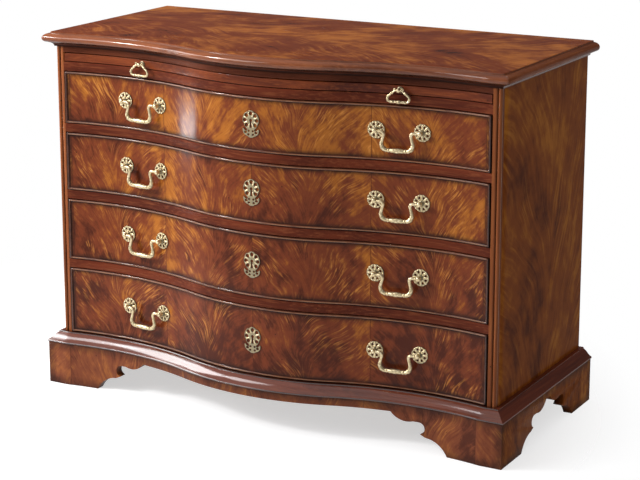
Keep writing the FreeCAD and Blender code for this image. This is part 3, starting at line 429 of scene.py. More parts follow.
# %% What every shape tree needs
def named(tree, label, kind="FLOAT"):
    """What the points carry under a name."""
    return add(tree, "GeometryNodeInputNamedAttribute", {"Name": label}, data_type=kind).outputs["Attribute"]


def dress(tree, shape, start, end):
    """The end of every tree: instances made real, and the finish put on."""
    real = add(tree, "GeometryNodeRealizeInstances", {0: shape}).outputs[0]
    dressed = add(tree, "GeometryNodeSetMaterial", {"Geometry": real, "Material": start["Finish"]}).outputs[0]
    tree.links.new(dressed, end["Geometry"])


def leg(tree, longest, other):
    """The third side of a square-cornered triangle: how far from its centre an arc lies."""
    squares = [calc(tree, "MULTIPLY", side, side) for side in (longest, other)]
    return calc(tree, "SQRT", calc(tree, "SUBTRACT", *squares))


bend, bend_in, bend_out = new_tree("serpentine_bend", "GeometryNodeTree", [
    ("Geometry", SHAPE, None), ("Bulge", FLOAT, BULGE), ("Hollow", FLOAT, HOLLOW), ("Hollow place", FLOAT, HOLLOW_X),
    ("Apex", FLOAT, APEX_Y), ("Corner step", FLOAT, CORNER_STEP), ("Finish", FINISH, None)], [("Geometry", SHAPE)])
print("bending tree starts with", len(bend_in) - 1, "inputs")

# %% The bending tree
spot = add(bend, "ShaderNodeSeparateXYZ", {0: add(bend, "GeometryNodeInputPosition").outputs[0]}).outputs
reach = named(bend, "reach")
away = calc(bend, "ABSOLUTE", spot["X"])
aside = calc(bend, "SUBTRACT", away, bend_in["Hollow place"])
both = calc(bend, "ADD", bend_in["Bulge"], bend_in["Hollow"])
bulge_centre = calc(bend, "ADD", bend_in["Apex"], bend_in["Bulge"])
hollow_centre = calc(bend, "SUBTRACT", bulge_centre, leg(bend, both, bend_in["Hollow place"]))
outer = calc(bend, "ADD", bend_in["Bulge"], reach)
inner = calc(bend, "SUBTRACT", bend_in["Hollow"], reach)
turn_x = calc(bend, "DIVIDE", calc(bend, "MULTIPLY", bend_in["Hollow place"], outer), both)
belly = calc(bend, "SUBTRACT", bulge_centre, leg(bend, outer, away))
flank = calc(bend, "ADD", hollow_centre, leg(bend, inner, aside))
corner = calc(bend, "SUBTRACT", calc(bend, "ADD", hollow_centre, inner), bend_in["Corner step"])
past = calc(bend, "GREATER_THAN", aside, 0.0)
ended = calc(bend, "SUBTRACT", calc(bend, "MAXIMUM", flank, corner), flank)
side_line = calc(bend, "MULTIPLY_ADD", past, ended, flank)
middle = calc(bend, "LESS_THAN", away, turn_x)
line = calc(bend, "MULTIPLY_ADD", middle, calc(bend, "SUBTRACT", belly, side_line), side_line)
laid_y = calc(bend, "MULTIPLY_ADD", named(bend, "follows"), calc(bend, "SUBTRACT", line, spot["Y"]), spot["Y"])
laid = add(bend, "ShaderNodeCombineXYZ", {0: spot["X"], 1: laid_y, 2: spot["Z"]}).outputs[0]
moved = add(bend, "GeometryNodeSetPosition", {"Geometry": bend_in["Geometry"], "Position": laid}).outputs[0]
dress(bend, moved, bend_in, bend_out)
print("bending tree:", len(bend.nodes), "nodes")

# %% Running a tree on a mesh
MERGE = 1e-6
CREASE = 32.0
CAST_CREASE = 50.0


def plain_mesh(holder):
    """What an object looks like with its modifiers or its bevel, as a mesh."""
    graph = bpy.context.evaluated_depsgraph_get()
    graph.update()
    return bpy.data.meshes.new_from_object(holder.evaluated_get(graph))


def run_tree(mesh, tree, **values):
    """Send a mesh through a Geometry Nodes tree and keep the plain result."""
    holder = bpy.data.objects.new("on_the_bench", mesh)
    scene.collection.objects.link(holder)
    modifier = holder.modifiers.new(tree.name, "NODES")
    modifier.node_group = tree
    for label, value in values.items():
        socket = tree.interface.items_tree[label.replace("_", " ")]
        modifier[socket.identifier] = value
    holder.update_tag()
    made = plain_mesh(holder)
    bpy.data.objects.remove(holder)
    bpy.data.meshes.remove(mesh)
    return made


def finish_piece(name, mesh, body, stands_for=(), crease=CREASE):
    """Close a piece, smooth it up to its creases, and put it on its body."""
    shell = bmesh.new()
    shell.from_mesh(mesh)
    bmesh.ops.remove_doubles(shell, verts=shell.verts, dist=MERGE)
    bmesh.ops.recalc_face_normals(shell, faces=shell.faces)
    shell.to_mesh(mesh)
    shell.free()
    mesh.shade_smooth()
    mesh.set_sharp_from_angle(angle=math.radians(crease))
    piece = bpy.data.objects.new(name, mesh)
    scene.collection.objects.link(piece)
    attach(piece, body)
    if stands_for:
        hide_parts(*stands_for)
    return piece


print("wood creases at", CREASE, "degrees, castings at", CAST_CREASE)

# %% [markdown]
# ## Sections and lengths
# Most of the chest is sawn from lengths with a constant section. A curve with a bevel would make a length in one
# step, but it can't hold a curved front and a straight back at once. So a section is a closed loop of corners that
# a length repeats across the chest, and a corner either follows the template at a reach or stands at a straight
# depth. Sharp corners are eased a little, because real arrises are sanded and catch a line of light.

# %% Corners and easing
COLUMNS = 168
SHARES = [2.0 * i / COLUMNS - 1.0 for i in range(COLUMNS + 1)]


def curved(half, reach, z):
    """A section corner on the serpentine: half width, reach and height."""
    return (half, 0.0, z, 1.0, reach)


def straight(half, y, z):
    """A section corner at a straight depth."""
    return (half, y, z, 0.0, 0.0)


def blend(first, second, share):
    """A point between two corners."""
    return tuple(a + (b - a) * share for a, b in zip(first, second))


def depth_of(corner):
    """A corner's depth where the front is furthest out."""
    half, y, z, follow, reach = corner
    return follow * (APEX_Y - reach) + (1 - follow) * y


def eased(section, radius, steps=3):
    """A section whose corners are rounded by a small radius."""
    made = []
    count = len(section)
    for i, corner in enumerate(section):
        ends = []
        for other in (section[i - 1], section[(i + 1) % count]):
            run = math.hypot(depth_of(other) - depth_of(corner), other[2] - corner[2])
            ends.append(blend(corner, other, min(radius / max(run, MERGE), 0.45)))
        for k in range(steps + 1):
            t = k / steps
            made.append(blend(blend(ends[0], corner, t), blend(corner, ends[1], t), t))
    return made


print("columns across the chest:", COLUMNS)

# %% Skins and lengths
def store(mesh, label, values):
    """Keep a number at every point of a mesh, under a name."""
    layer = mesh.attributes.get(label) or mesh.attributes.new(label, "FLOAT", "POINT")
    layer.data.foreach_set("value", values)


def store_corners(mesh, corners):
    """Keep what the bending tree asks for: which points follow the template, and their reach."""
    store(mesh, "follows", [corner[3] for corner in corners])
    store(mesh, "reach", [corner[4] for corner in corners])


def darken(mesh, rule, label="wax_and_shade"):
    """Store how dark each point is, as a share given by a rule of its place: polish residue and painted shade on wood,
    patina and painted shade on brass.
    """
    store(mesh, label, [min(max(rule(v.co), 0.0), 1.0) for v in mesh.vertices])
    return mesh


def skin(name, rings, joined=False):
    """A mesh over equal closed rings of corners; joined runs the last ring into the first."""
    count = len(rings[0])
    corners = [corner for ring in rings for corner in ring]
    faces = []
    for r in range(len(rings) - (0 if joined else 1)):
        here = r * count
        there = (r + 1) % len(rings) * count
        for i in range(count):
            j = (i + 1) % count
            faces.append((here + i, here + j, there + j, there + i))
    if not joined:
        faces += [tuple(range(count)), tuple(range((len(rings) - 1) * count, len(rings) * count))]
    mesh = bpy.data.meshes.new(name)
    mesh.from_pydata([corner[:3] for corner in corners], [], faces)
    store_corners(mesh, corners)
    return mesh


def length_across(name, section):
    """A straight length across the chest, with a ring of corners at every column."""
    return skin(name, [[(half * t, y, z, follow, reach) for half, y, z, follow, reach in section] for t in SHARES])


def joined_mesh(name, meshes):
    """Several meshes as one, with the first one's finish."""
    pile = bmesh.new()
    for mesh in meshes:
        pile.from_mesh(mesh)
    whole = bpy.data.meshes.new(name)
    pile.to_mesh(whole)
    pile.free()
    for material in meshes[0].materials:
        whole.materials.append(material)
    return whole


print("a skin over", len(SHARES), "rings makes a length")

# %% [markdown]
# ## Rails and the brushing slide
# Between the drawers run thin rails, called blades, and under the top a deeper frieze rail. The brushing slide
# is a board that pulls out over the first drawer. Booleans could cut them from blocks, but would leave long thin
# faces along the curve. All of them show only their front edges, so each is one eased section with a serpentine
# front and a straight back.

# %% Blades and frieze
EASE = 0.0009
BLADE = 0.020
SLIDE_GAP = 0.002
DRAWER_GAP = 0.0015
blade_back = high("drawer_blades").y
blade_tops = [low("slide_board").z - SLIDE_GAP]
blade_tops += [low(drawer + "_cockbeads").z - DRAWER_GAP for drawer in DRAWERS[:3]]


def rail(name, half, bottom, top, back, finish="rail_wood"):
    """A rail with a serpentine front edge."""
    section = eased([curved(half, 0.0, bottom), curved(half, 0.0, top), straight(half, back, top),
                     straight(half, back, bottom)], EASE)
    return run_tree(length_across(name, section), bend, Finish=finishes[finish])


blades = [rail("blade", OPENING_HALF, top - BLADE, top, blade_back) for top in blade_tops]
finish_piece("blades", joined_mesh("blades", blades), "carcass", ["drawer_blades"])
# The frieze is painted darker, as shade under the top.
frieze = rail("frieze", OPENING_HALF, low("top_rails").z, high("top_rails").z, blade_back, "painted_shade_wood")
print("blades:", len(blades), "with tops at", ["%.4f" % top for top in blade_tops])

# %% A square board with sanded arrises
SANDED = 0.0008
REAR_RAIL = 0.030


def plank(name, corner, opposite, material=None):
    """A square board between two corners, its arrises sanded."""
    board = bmesh.new()
    bmesh.ops.create_cube(board, size=1.0)
    bmesh.ops.scale(board, vec=opposite - corner, verts=board.verts)
    bmesh.ops.translate(board, vec=(corner + opposite) / 2, verts=board.verts)
    bmesh.ops.bevel(board, geom=board.edges[:], offset=SANDED, segments=2, profile=0.6, affect="EDGES")
    mesh = bpy.data.meshes.new(name)
    board.to_mesh(mesh)
    board.free()
    if material:
        mesh.materials.append(material)
    return mesh


rear_low = Vector((-OPENING_HALF, high("top_rails").y - REAR_RAIL, low("top_rails").z))
rear_high = Vector((OPENING_HALF, high("top_rails").y, high("top_rails").z))
rails = joined_mesh("rails", [frieze, plank("rear_rail", rear_low, rear_high)])
finish_piece("frieze_and_rear_rail", rails, "carcass", ["top_rails"])
board_low, board_high = low("slide_board"), high("slide_board")
slide = rail("slide", board_high.x, board_low.z, board_high.z, board_high.y, "slide_wood")
finish_piece("brushing_board", slide, "brushing_slide", ["slide_board"])
print("rear rail", ["%.3f" % side for side in rear_high - rear_low], "and the brushing slide")

# %% [markdown]
# ## Drawer fronts and cockbeads
# Each front is a curved board with a flame veneer. Round it stands a cockbead, a thin rounded strip that guards
# the veneer's edge. It could be four strips cut to length, but when every point of its section runs round as a
# rectangle, the mitres come by themselves. The front gets extra rows near its edges to carry dark wax and painted
# shade there. The bead gets painted shade at its root and on its upright ends, and its crest is marked for a
# painted highlight line.

# %% Fronts
FRONT = 0.022
VENEER = 0.002
FRONT_WAX_AND_SHADE = 0.010
ROWS = (0.0, 0.0015, 0.004, 0.008, 0.014, 0.022, 0.035)


def front_board(drawer):
    """The veneered board of a drawer, with a plainer core behind the veneer."""
    node = drawer + "_front"
    half = high(node).x
    bottom, top = low(node).z, high(node).z
    heights = [bottom + row for row in ROWS] + [(bottom + top) / 2] + [top - row for row in reversed(ROWS)]
    section = [curved(half, 0.0, z) for z in heights] + [curved(half, -FRONT, top), curved(half, -FRONT, bottom)]
    mesh = run_tree(length_across(node, section), bend, Finish=finishes["flame_veneer"])
    mesh.materials.append(finishes["rail_wood"])
    for face in mesh.polygons:
        face.material_index = 0 if abs(face.center.y - front_y(face.center.x)) < VENEER else 1
    # Dark wax and painted shade near the front's edges, next to the bead.
    return darken(mesh, lambda at: 1.0 - min(half - abs(at.x), at.z - bottom, top - at.z) / FRONT_WAX_AND_SHADE)


for drawer in DRAWERS:
    finish_piece(drawer + "_veneered_front", front_board(drawer), drawer, [drawer + "_front"])
print("fronts:", ", ".join("%.0f mm" % ((high(d + "_front").z - low(d + "_front").z) * 1000) for d in DRAWERS))

# %% Cockbeads
BEAD_SECTION = ((0.0, -0.009), (0.0, 0.0012), (0.0003, 0.0021), (0.0010, 0.0027), (0.00225, 0.0030),
                (0.0035, 0.0027), (0.0042, 0.0021), (0.0045, 0.0012), (0.0045, -0.009))
CREST = 0.0029
CREST_END = 0.006
BEAD_ROOT = 0.0009
END_SHADE = 0.0030
END_FADE = 0.0020


def bead_frame(drawer):
    """Four strips mitred round a drawer front: every point of the bead's section runs round as a rectangle."""
    node = drawer + "_cockbeads"
    half = high(node).x
    bottom, top = low(node).z, high(node).z
    rings = []
    for step_in, reach in BEAD_SECTION:
        across = [(half - step_in) * t for t in SHARES]
        ring = [(x, 0.0, bottom + step_in, 1.0, reach) for x in across]
        ring += [(x, 0.0, top - step_in, 1.0, reach) for x in reversed(across)]
        rings.append(ring)
    mesh = run_tree(skin(node, rings, joined=True), bend, Finish=finishes["bead_wood"])

    def crest_highlight_at(at):
        """A painted highlight: pale along the crests of the two long strips."""
        return 1.0 if at.y < front_y(at.x, CREST) and abs(at.x) < half - CREST_END else 0.0

    def shade_at(at):
        """Painted shade at the root of the bead and along its upright outer edges."""
        root = 0.8 if at.y > front_y(at.x, BEAD_ROOT) else 0.0
        return max((abs(at.x) - half + END_SHADE) / END_FADE, root)

    return darken(darken(mesh, crest_highlight_at, "crest"), shade_at)


for drawer in DRAWERS:
    finish_piece(drawer + "_beading", bead_frame(drawer), drawer, [drawer + "_cockbeads"])
print("cockbeads:", len(BEAD_SECTION), "points in the section")

# %% [markdown]
# ## The top
# The top is one board with a thumb moulding on its front and side edges: a full rounded nose and a small sharp
# step round the flat. Its plan is drawn as a ring at each level of the moulding, and the rings are skinned, so the
# moulding goes round the clipped corners without a mitre. The flat is veneered; the edges are solid wood.

# %% The top's moulding
NOSE = 0.024
NOSE_HIGH = 0.0085
UNDER_CUT = 0.0075
OVER_CUT = 0.0138
OVER_HIGH = 0.0102
top_bottom, top_top = low("top").z, high("top").z
top_profile = []
for degrees in (-90, -70, -50, -30, -15):
    a = math.radians(degrees)
    top_profile.append((NOSE - UNDER_CUT * (1 - math.cos(a)), top_bottom + NOSE_HIGH * (1 + math.sin(a))))
for degrees in (0, 12, 24, 36, 48, 60, 72, 84, 90):
    a = math.radians(degrees)
    top_profile.append((NOSE - OVER_CUT * (1 - math.cos(a)), top_bottom + NOSE_HIGH + OVER_HIGH * math.sin(a)))
top_profile += [(0.0098, top_bottom + 0.0190), (0.0096, top_top - 0.0007), (0.0089, top_top)]
print("top:", len(top_profile), "levels in its moulding")

# %% The top's plan
CLIP = 0.005
CLIP_CURVE = ((0.62, 0.12), (0.29, 0.29), (0.12, 0.62), (0.0, 1.0))
SIDE_STEPS = 8
VENEERED = 0.0005
UNDER_SHADE = 0.004
STEP_DEEP = 0.0022
STEP_SHADE = 0.0012


def top_ring(reach, z):
    """Plan of the top at one level."""
    x = CASE_HALF + reach
    y = CORNER_Y - reach
    sides = [(x - CLIP * in_x, y + CLIP * in_y) for in_x, in_y in CLIP_CURVE]
    sides += [(x, y + CLIP + (BACK_Y - y - CLIP) * k / SIDE_STEPS) for k in range(1, SIDE_STEPS + 1)]
    ring = [((x - CLIP) * t, 0.0, z, 1.0, reach) for t in SHARES]
    ring += [(px, py, z, 0.0, 0.0) for px, py in sides]
    return ring + [(-px, py, z, 0.0, 0.0) for px, py in reversed(sides)]


def step_shade(at):
    """Painted shade in the step round the flat and under the nose."""
    under = 1.0 - (at.z - top_bottom) / UNDER_SHADE
    step = 1.0 - abs(at.z - top_top + STEP_DEEP) / STEP_SHADE
    return max(0.75 * under, 0.85 * step)


top_skin = skin("top", [top_ring(reach, z) for reach, z in top_profile])
top_mesh = run_tree(top_skin, bend, Finish=finishes["flame_top"])
for finish in ("top_edge", "top_side_edge"):
    top_mesh.materials.append(finishes[finish])
for face in top_mesh.polygons:
    at_side = abs(face.normal.x) > abs(face.normal.y) and abs(face.center.x) > CASE_HALF
    edge_finish = 2 if at_side else 1
    face.material_index = 0 if face.center.z > top_top - VENEERED else edge_finish
finish_piece("moulded_top", darken(top_mesh, step_shade), "carcass", ["top"])
print("top:", len(top_mesh.polygons), "faces")

# %% [markdown]
# ## Mouldings with mitres
# The small cove under the top and the large moulding on the base go round three sides in three lengths, mitred
# at the front corners. A length keeps its section and only its ends differ, so the front length stretches its
# section towards the mitre and the side lengths start at it. No Boolean has to saw the mitres then.

# %% A moulding in three lengths
LOW_QUIRK = 0.0034
HIGH_QUIRK = 0.0024
QUIRK_SHADE = 0.8


def moulding(name, outside, inner, inner_half, inner_y, finish, node):
    """Front and side lengths: outside is (reach, height) from below, then two inner corners close the section."""
    heights = [outside[-1][1], outside[0][1]]
    front = [curved(CASE_HALF + reach, reach, z) for reach, z in outside]
    front += [inner(z) for z in heights]
    mesh = run_tree(length_across(name + "_front", front), bend, Finish=finishes[finish])
    # Painted shade in the quirks at the top and bottom of the section; the face between stays clean.
    clean_from, clean_to = heights[1] + LOW_QUIRK, heights[0] - HIGH_QUIRK
    darken(mesh, lambda at: 0.0 if clean_from <= at.z <= clean_to else QUIRK_SHADE)
    pieces = [finish_piece(name + "_front", mesh, "carcass", [node])]
    for side, sign in SIDES:
        rings = []
        for share in (0.0, 0.2, 0.4, 0.6, 0.8, 1.0):
            ring = []
            for reach, z in outside:
                start = CORNER_Y - reach
                ring.append((sign * (CASE_HALF + reach), start + (BACK_Y - start) * share, z, 0.0, 0.0))
            ring += [(sign * inner_half, inner_y + (BACK_Y - inner_y) * share, z, 0.0, 0.0) for z in heights]
            rings.append(ring)
        mesh = run_tree(skin(name + "_" + side, rings), bend, Finish=finishes["side_moulding_wood"])
        pieces.append(finish_piece(name + "_" + side, mesh, "carcass", [node]))
    return pieces


COVE_BACK = 0.0008
COVE = ((0.0030, 0.0100), (0.0031, 0.0088), (0.0036, 0.0070), (0.0047, 0.0052), (0.0064, 0.0036), (0.0088, 0.0022),
        (0.0112, 0.0014), (0.0128, 0.0011), (0.0130, 0.0))
cove_top = high("top_cove_moulding").z
cove_half = CASE_HALF + COVE_BACK
# The cove is painted darker, as shade under the top.
coves = moulding("cove", [(reach, cove_top - drop) for reach, drop in COVE],
                 lambda z: curved(cove_half, COVE_BACK, z), cove_half, CORNER_Y - COVE_BACK, "painted_shade_wood",
                 "top_cove_moulding")
print("cove:", len(coves), "lengths")

# %% The base moulding
BASE_OUT = 0.0283
BASE_RUN = 0.0193
BASE_FOOT = 0.0036
BASE_RISE = 0.0168
SWEEP = 0.05
FRAME_WIDE = 0.056
FRAME_HALF = CASE_HALF - FRAME_WIDE
FRAME_INSIDE = CORNER_Y + FRAME_WIDE
base_bottom, base_top = low("base_frame").z, high("base_frame").z
base_profile = [(0.0283, base_bottom), (0.0290, base_bottom + 0.0006), (0.0290, base_bottom + 0.0028),
                (0.0286, base_bottom + 0.0033)]
for k in range(13):
    t = k / 12
    run_in = BASE_RUN * (t + SWEEP * math.sin(math.tau * t))
    base_profile.append((BASE_OUT - run_in, base_bottom + BASE_FOOT + BASE_RISE * t))
base_profile += [(0.0094, base_top - 0.0022), (0.0096, base_top - 0.0008), (0.0088, base_top)]
bases = moulding("base_moulding", base_profile, lambda z: straight(FRAME_HALF, FRAME_INSIDE, z), FRAME_HALF,
                 FRAME_INSIDE, "moulding_wood", "base_frame")
rear = plank("base_rear", Vector((-FRAME_HALF, BACK_Y - FRAME_WIDE, base_bottom)),
             Vector((FRAME_HALF, BACK_Y, base_top)), finishes["rail_wood"])
finish_piece("base_frame_rear", rear, "carcass", ["base_frame"])
print("base:", len(bases), "lengths with", len(base_profile), "points in the section, and a rear rail")

# %% [markdown]
# ## Stiles
# The front corners are solid stiles. A bead is worked on the very corner, set off by a quirk, a narrow groove on
# each side of it. A real one is stuck with a scratch stock along the whole length, so one plan and two levels
# make it here. Painted shade fills the quirks, and behind the bead the veneer of the case side runs over the stile.

# %% Stiles
BEAD_R = 0.0045
QUIRK_EDGE = 0.0081
QUIRK_ROUND = 0.0073
ROUND_DEPTH = 0.0004
QUIRK_SPREAD = 0.0034
bead_at = Vector((CASE_HALF - BEAD_R, CORNER_Y + BEAD_R))
stile_back = high("front_stiles").y
stile_plan = [(OPENING_HALF, CORNER_Y), (bead_at.x - QUIRK_EDGE, CORNER_Y),
              (bead_at.x - QUIRK_ROUND, CORNER_Y + ROUND_DEPTH)]
for degrees in range(180, 451, 15):
    a = math.radians(degrees)
    stile_plan.append((bead_at.x + BEAD_R * math.cos(a), bead_at.y + BEAD_R * math.sin(a)))
stile_plan += [(CASE_HALF - ROUND_DEPTH, bead_at.y + QUIRK_ROUND), (CASE_HALF, bead_at.y + QUIRK_EDGE),
               (CASE_HALF, stile_back), (OPENING_HALF, stile_back)]
grooves = (bead_at + Vector((-BEAD_R, 0.0)), bead_at + Vector((0.0, BEAD_R)))


def groove_shade(at):
    """Painted shade near the bottom of a quirk."""
    return 1.0 - min((Vector((abs(at.x), at.y)) - groove).length for groove in grooves) / QUIRK_SPREAD


for side, sign in SIDES:
    levels = (low("front_stiles").z, high("front_stiles").z)
    rings = [[(sign * x, y, z, 0.0, 0.0) for x, y in stile_plan] for z in levels]
    mesh = run_tree(skin(side + "_stile", rings), bend, Finish=finishes["stile_wood"])
    mesh.materials.append(finishes["flame_side"])
    for face in mesh.polygons:
        on_case_side = abs(face.normal.x) > 0.999 and face.center.y > bead_at.y + QUIRK_EDGE
        face.material_index = 1 if on_case_side else 0
    finish_piece(side + "_stile", darken(mesh, groove_shade), "carcass", ["front_stiles"])
print("stiles:", len(stile_plan), "points in the plan")

# %% [markdown]
# ## Bracket feet
# The plinth is three veneered boards, mitred at the front corners and sawn to an ogee with a small beak. A drawn
# outline with true arcs gives the saw line, because sawing a board that is bent already would need a Boolean. The
# flat board is then cut into columns, so that the front one can bend, and along its edges, so that they can carry
# a soft rim of dark wax and painted shade; the sawn edges are painted dark as well.

# %% The saw line
PLINTH_REACH = 0.0265
PLINTH_THICK = 0.020
BRACKET = 0.128
APRON = 0.079
FRONT_TOE = 0.126
SIDE_TOE = 0.103
EDGE = ((0.0, 0.0), (0.39, 0.415), (0.485, 0.485), (0.50, 0.81), (0.61, 0.81), (1.0, 1.0))
ARCS = {0: (0.46, -1), 2: (0.1015, -1), 4: (0.35, 1)}
plinth_end = CASE_HALF + PLINTH_REACH


def arc(start, end, radius, turn, steps=8):
    """Points after start on an arc to end; turn is 1 to the left and -1 to the right."""
    chord = end - start
    middle_at = (start + end) / 2
    normal = Vector((-chord.y, chord.x)).normalized() * turn
    centre = middle_at + normal * math.sqrt(max(radius ** 2 - chord.length_squared / 4, 0.0))
    first = start - centre
    sweep = turn * 2 * math.asin(min(chord.length / (2 * radius), 1.0))
    return [centre + Matrix.Rotation(sweep * k / steps, 2) @ first for k in range(1, steps + 1)]


def saw_line(start, end, toe):
    """The whole lower edge of a plinth board from its first corner to its last."""
    corners = [Vector((toe + BRACKET * along, APRON * up)) for along, up in EDGE]
    edge = [corners[0]]
    for i, corner_point in enumerate(corners[1:]):
        edge += arc(corners[i], corner_point, ARCS[i][0] * BRACKET, ARCS[i][1]) if i in ARCS else [corner_point]
    points = [(start, 0.0)] + [(start + p.x, p.y) for p in edge]
    return points + [(end - p.x, p.y) for p in reversed(edge)] + [(end, 0.0)]


print("saw line:", len(saw_line(-plinth_end, plinth_end, FRONT_TOE)), "points")

# %% Sawing a plinth board
DARK_RIM = 0.022
SAWN_DARK = 0.004
BROKEN = 0.0007


def sawn_board(start, end, toe, cuts):
    """A flat board along X with its outer face at y = 0: sawn, its arrises broken, cut into columns."""
    height = high("plinth_front").z
    outline = saw_line(start, end, toe) + [(end, height), (start, height)]
    board = bmesh.new()
    face = board.faces.new([board.verts.new((x, 0.0, z)) for x, z in outline])
    grown = bmesh.ops.extrude_face_region(board, geom=[face])["geom"]
    inner_face = [g for g in grown if isinstance(g, bmesh.types.BMVert)]
    bmesh.ops.translate(board, vec=(0.0, PLINTH_THICK, 0.0), verts=inner_face)
    sawn = []
    for edge in board.edges:
        outer_edge = all(abs(v.co.y) < MERGE for v in edge.verts)
        inside_ends = any(start + MERGE < v.co.x < end - MERGE for v in edge.verts)
        if outer_edge and inside_ends:
            sawn.append(edge)
    bmesh.ops.bevel(board, geom=sawn, offset=BROKEN, segments=2, profile=0.6, affect="EDGES")
    planes = [((x, 0.0, 0.0), (1.0, 0.0, 0.0)) for x in cuts + [start + DARK_RIM, end - DARK_RIM]]
    planes += [((0.0, 0.0, z), (0.0, 0.0, 1.0)) for z in (DARK_RIM, height - DARK_RIM)]
    for at, normal_to in planes:
        everything = board.verts[:] + board.edges[:] + board.faces[:]
        bmesh.ops.bisect_plane(board, geom=everything, plane_co=at, plane_no=normal_to, dist=1e-5)
    return board


def laid_board(name, board, shape, finish):
    """Give every point of a flat board its place, by a rule that returns a corner, and bend it."""
    flats = [v.co.copy() for v in board.verts]
    corners = [shape(at) for at in flats]
    for v, corner_point in zip(board.verts, corners):
        v.co = corner_point[:3]
    mesh = bpy.data.meshes.new(name)
    board.to_mesh(mesh)
    board.free()
    store_corners(mesh, corners)
    first, last = min(at.x for at in flats), max(at.x for at in flats)
    top = max(at.z for at in flats)
    # Wax and painted shade in a soft rim along the board's edges, and painted shade on its sawn edges.
    wax_and_shade = []
    for at in flats:
        rim_wax_and_shade = 1.0 - min(at.z, top - at.z, at.x - first, last - at.x) / DARK_RIM
        wax_and_shade.append(min(max(at.y / SAWN_DARK, 0.75 * rim_wax_and_shade, 0.0), 0.9))
    store(mesh, "wax_and_shade", wax_and_shade)
    return run_tree(mesh, bend, Finish=finish)


print("plinth boards are", PLINTH_THICK, "m thick and carry wax", DARK_RIM, "m from their edges")

# %% The plinth boards
CUTS = 160
CUTS_HALF = 0.540
FRONT_CUTS = [(2.0 * i / CUTS - 1.0) * CUTS_HALF for i in range(CUTS + 1)]


def on_front(at):
    """A point of the front plinth: its reach, and its end on the mitre."""
    out = PLINTH_REACH - at.y
    end = CASE_HALF + out
    return (min(max(at.x, -end), end), 0.0, at.z, 1.0, out)


board = sawn_board(-plinth_end, plinth_end, FRONT_TOE, FRONT_CUTS)
mesh = laid_board("front_plinth", board, on_front, finishes["flame_apron"])
finish_piece("front_plinth", mesh, "carcass", ["plinth_front"])
for side, sign in SIDES:
    def on_side(at):
        """A point of a side plinth, with its front end on the mitre."""
        out = PLINTH_REACH - at.y
        return (sign * (CASE_HALF + out), max(at.x, CORNER_Y - out), at.z, 0.0, 0.0)

    board = sawn_board(CORNER_Y - PLINTH_REACH, BACK_Y, SIDE_TOE, [])
    mesh = laid_board(side + "_plinth", board, on_side, finishes["flame_side_apron"])
    finish_piece(side + "_plinth", mesh, "carcass", ["side_plinths"])
print("plinth boards: 3, the front one with", len(FRONT_CUTS), "cuts")

# %% [markdown]
# ## Rods of cast brass
# Bails and loops are cast rods whose thickness swells and whose grip is chased with leaves. A pattern-maker bends
# a rod and adds the swellings. In the same way a path with a thickness at each point becomes a curve and then a
# tube in Geometry Nodes, and the leaves are pressed into it along its own normals.

# %% The cast rod tree
rod, rod_in, rod_out = new_tree("cast_rod", "GeometryNodeTree", [
    ("Geometry", SHAPE, None), ("Sides", COUNT, 14), ("Leaf depth", FLOAT, 0.0009), ("Leaf pitch", FLOAT, 620.0),
    ("Finish", FINISH, None)], [("Geometry", SHAPE)])
path = add(rod, "GeometryNodeMeshToCurve", {"Mesh": rod_in["Geometry"]}).outputs[0]
ring = add(rod, "GeometryNodeCurvePrimitiveCircle", {"Resolution": rod_in["Sides"], "Radius": 1.0}).outputs[0]
swept = {"Curve": path, "Profile Curve": ring, "Scale": named(rod, "thickness"), "Fill Caps": True}
tube = add(rod, "GeometryNodeCurveToMesh", swept).outputs[0]
normal = add(rod, "GeometryNodeInputNormal").outputs[0]
facing = add(rod, "ShaderNodeSeparateXYZ", {0: normal}).outputs
angle = calc(rod, "ARCTAN2", facing["Z"], facing["Y"])
swing = calc(rod, "MULTIPLY", calc(rod, "COSINE", calc(rod, "MULTIPLY", angle, 3.0)), 1.5)
lobe = calc(rod, "SINE", calc(rod, "MULTIPLY_ADD", named(rod, "way"), rod_in["Leaf pitch"], swing))
press = calc(rod, "MULTIPLY", centred(rod, lobe, 0.5, 0.4), named(rod, "leaf"))
push = {0: normal, "Scale": calc(rod, "MULTIPLY", press, rod_in["Leaf depth"])}
shift = add(rod, "ShaderNodeVectorMath", push, operation="SCALE").outputs[0]
tooled = add(rod, "GeometryNodeSetPosition", {"Geometry": tube, "Offset": shift}).outputs[0]
# Patina and painted shade in the hollows between the leaves.
depth = calc(rod, "MULTIPLY_ADD", press, -0.85, 0.15)
kept = {"Geometry": tooled, "Name": "recess", "Value": depth}
dress(rod, add(rod, "GeometryNodeStoreNamedAttribute", kept).outputs[0], rod_in, rod_out)
print("cast rod tree:", len(rod.nodes), "nodes")

# %% Walking a path and casting it
def walk(x, z, heading, moves, step=0.0008):
    """Points (x, z, way) along straight runs (length,) and bends (radius, degrees)."""
    points = [(x, z, 0.0)]
    far = 0.0
    for move in moves:
        bend_by = math.radians(move[1]) if len(move) == 2 else 0.0
        span = move[0] * abs(bend_by) if len(move) == 2 else move[0]
        count = max(2, round(span / step))
        for k in range(count):
            heading += bend_by / count / 2
            x += math.cos(heading) * span / count
            z += math.sin(heading) * span / count
            heading += bend_by / count / 2
            far += span / count
            points.append((x, z, far))
    return points


def at_way(table, far):
    """A value read from a table of (way, value) with straight lines between."""
    for (a, first), (b, second) in zip(table, table[1:]):
        if far <= b:
            return first + (second - first) * max(far - a, 0.0) / max(b - a, 1e-9)
    return table[-1][1]


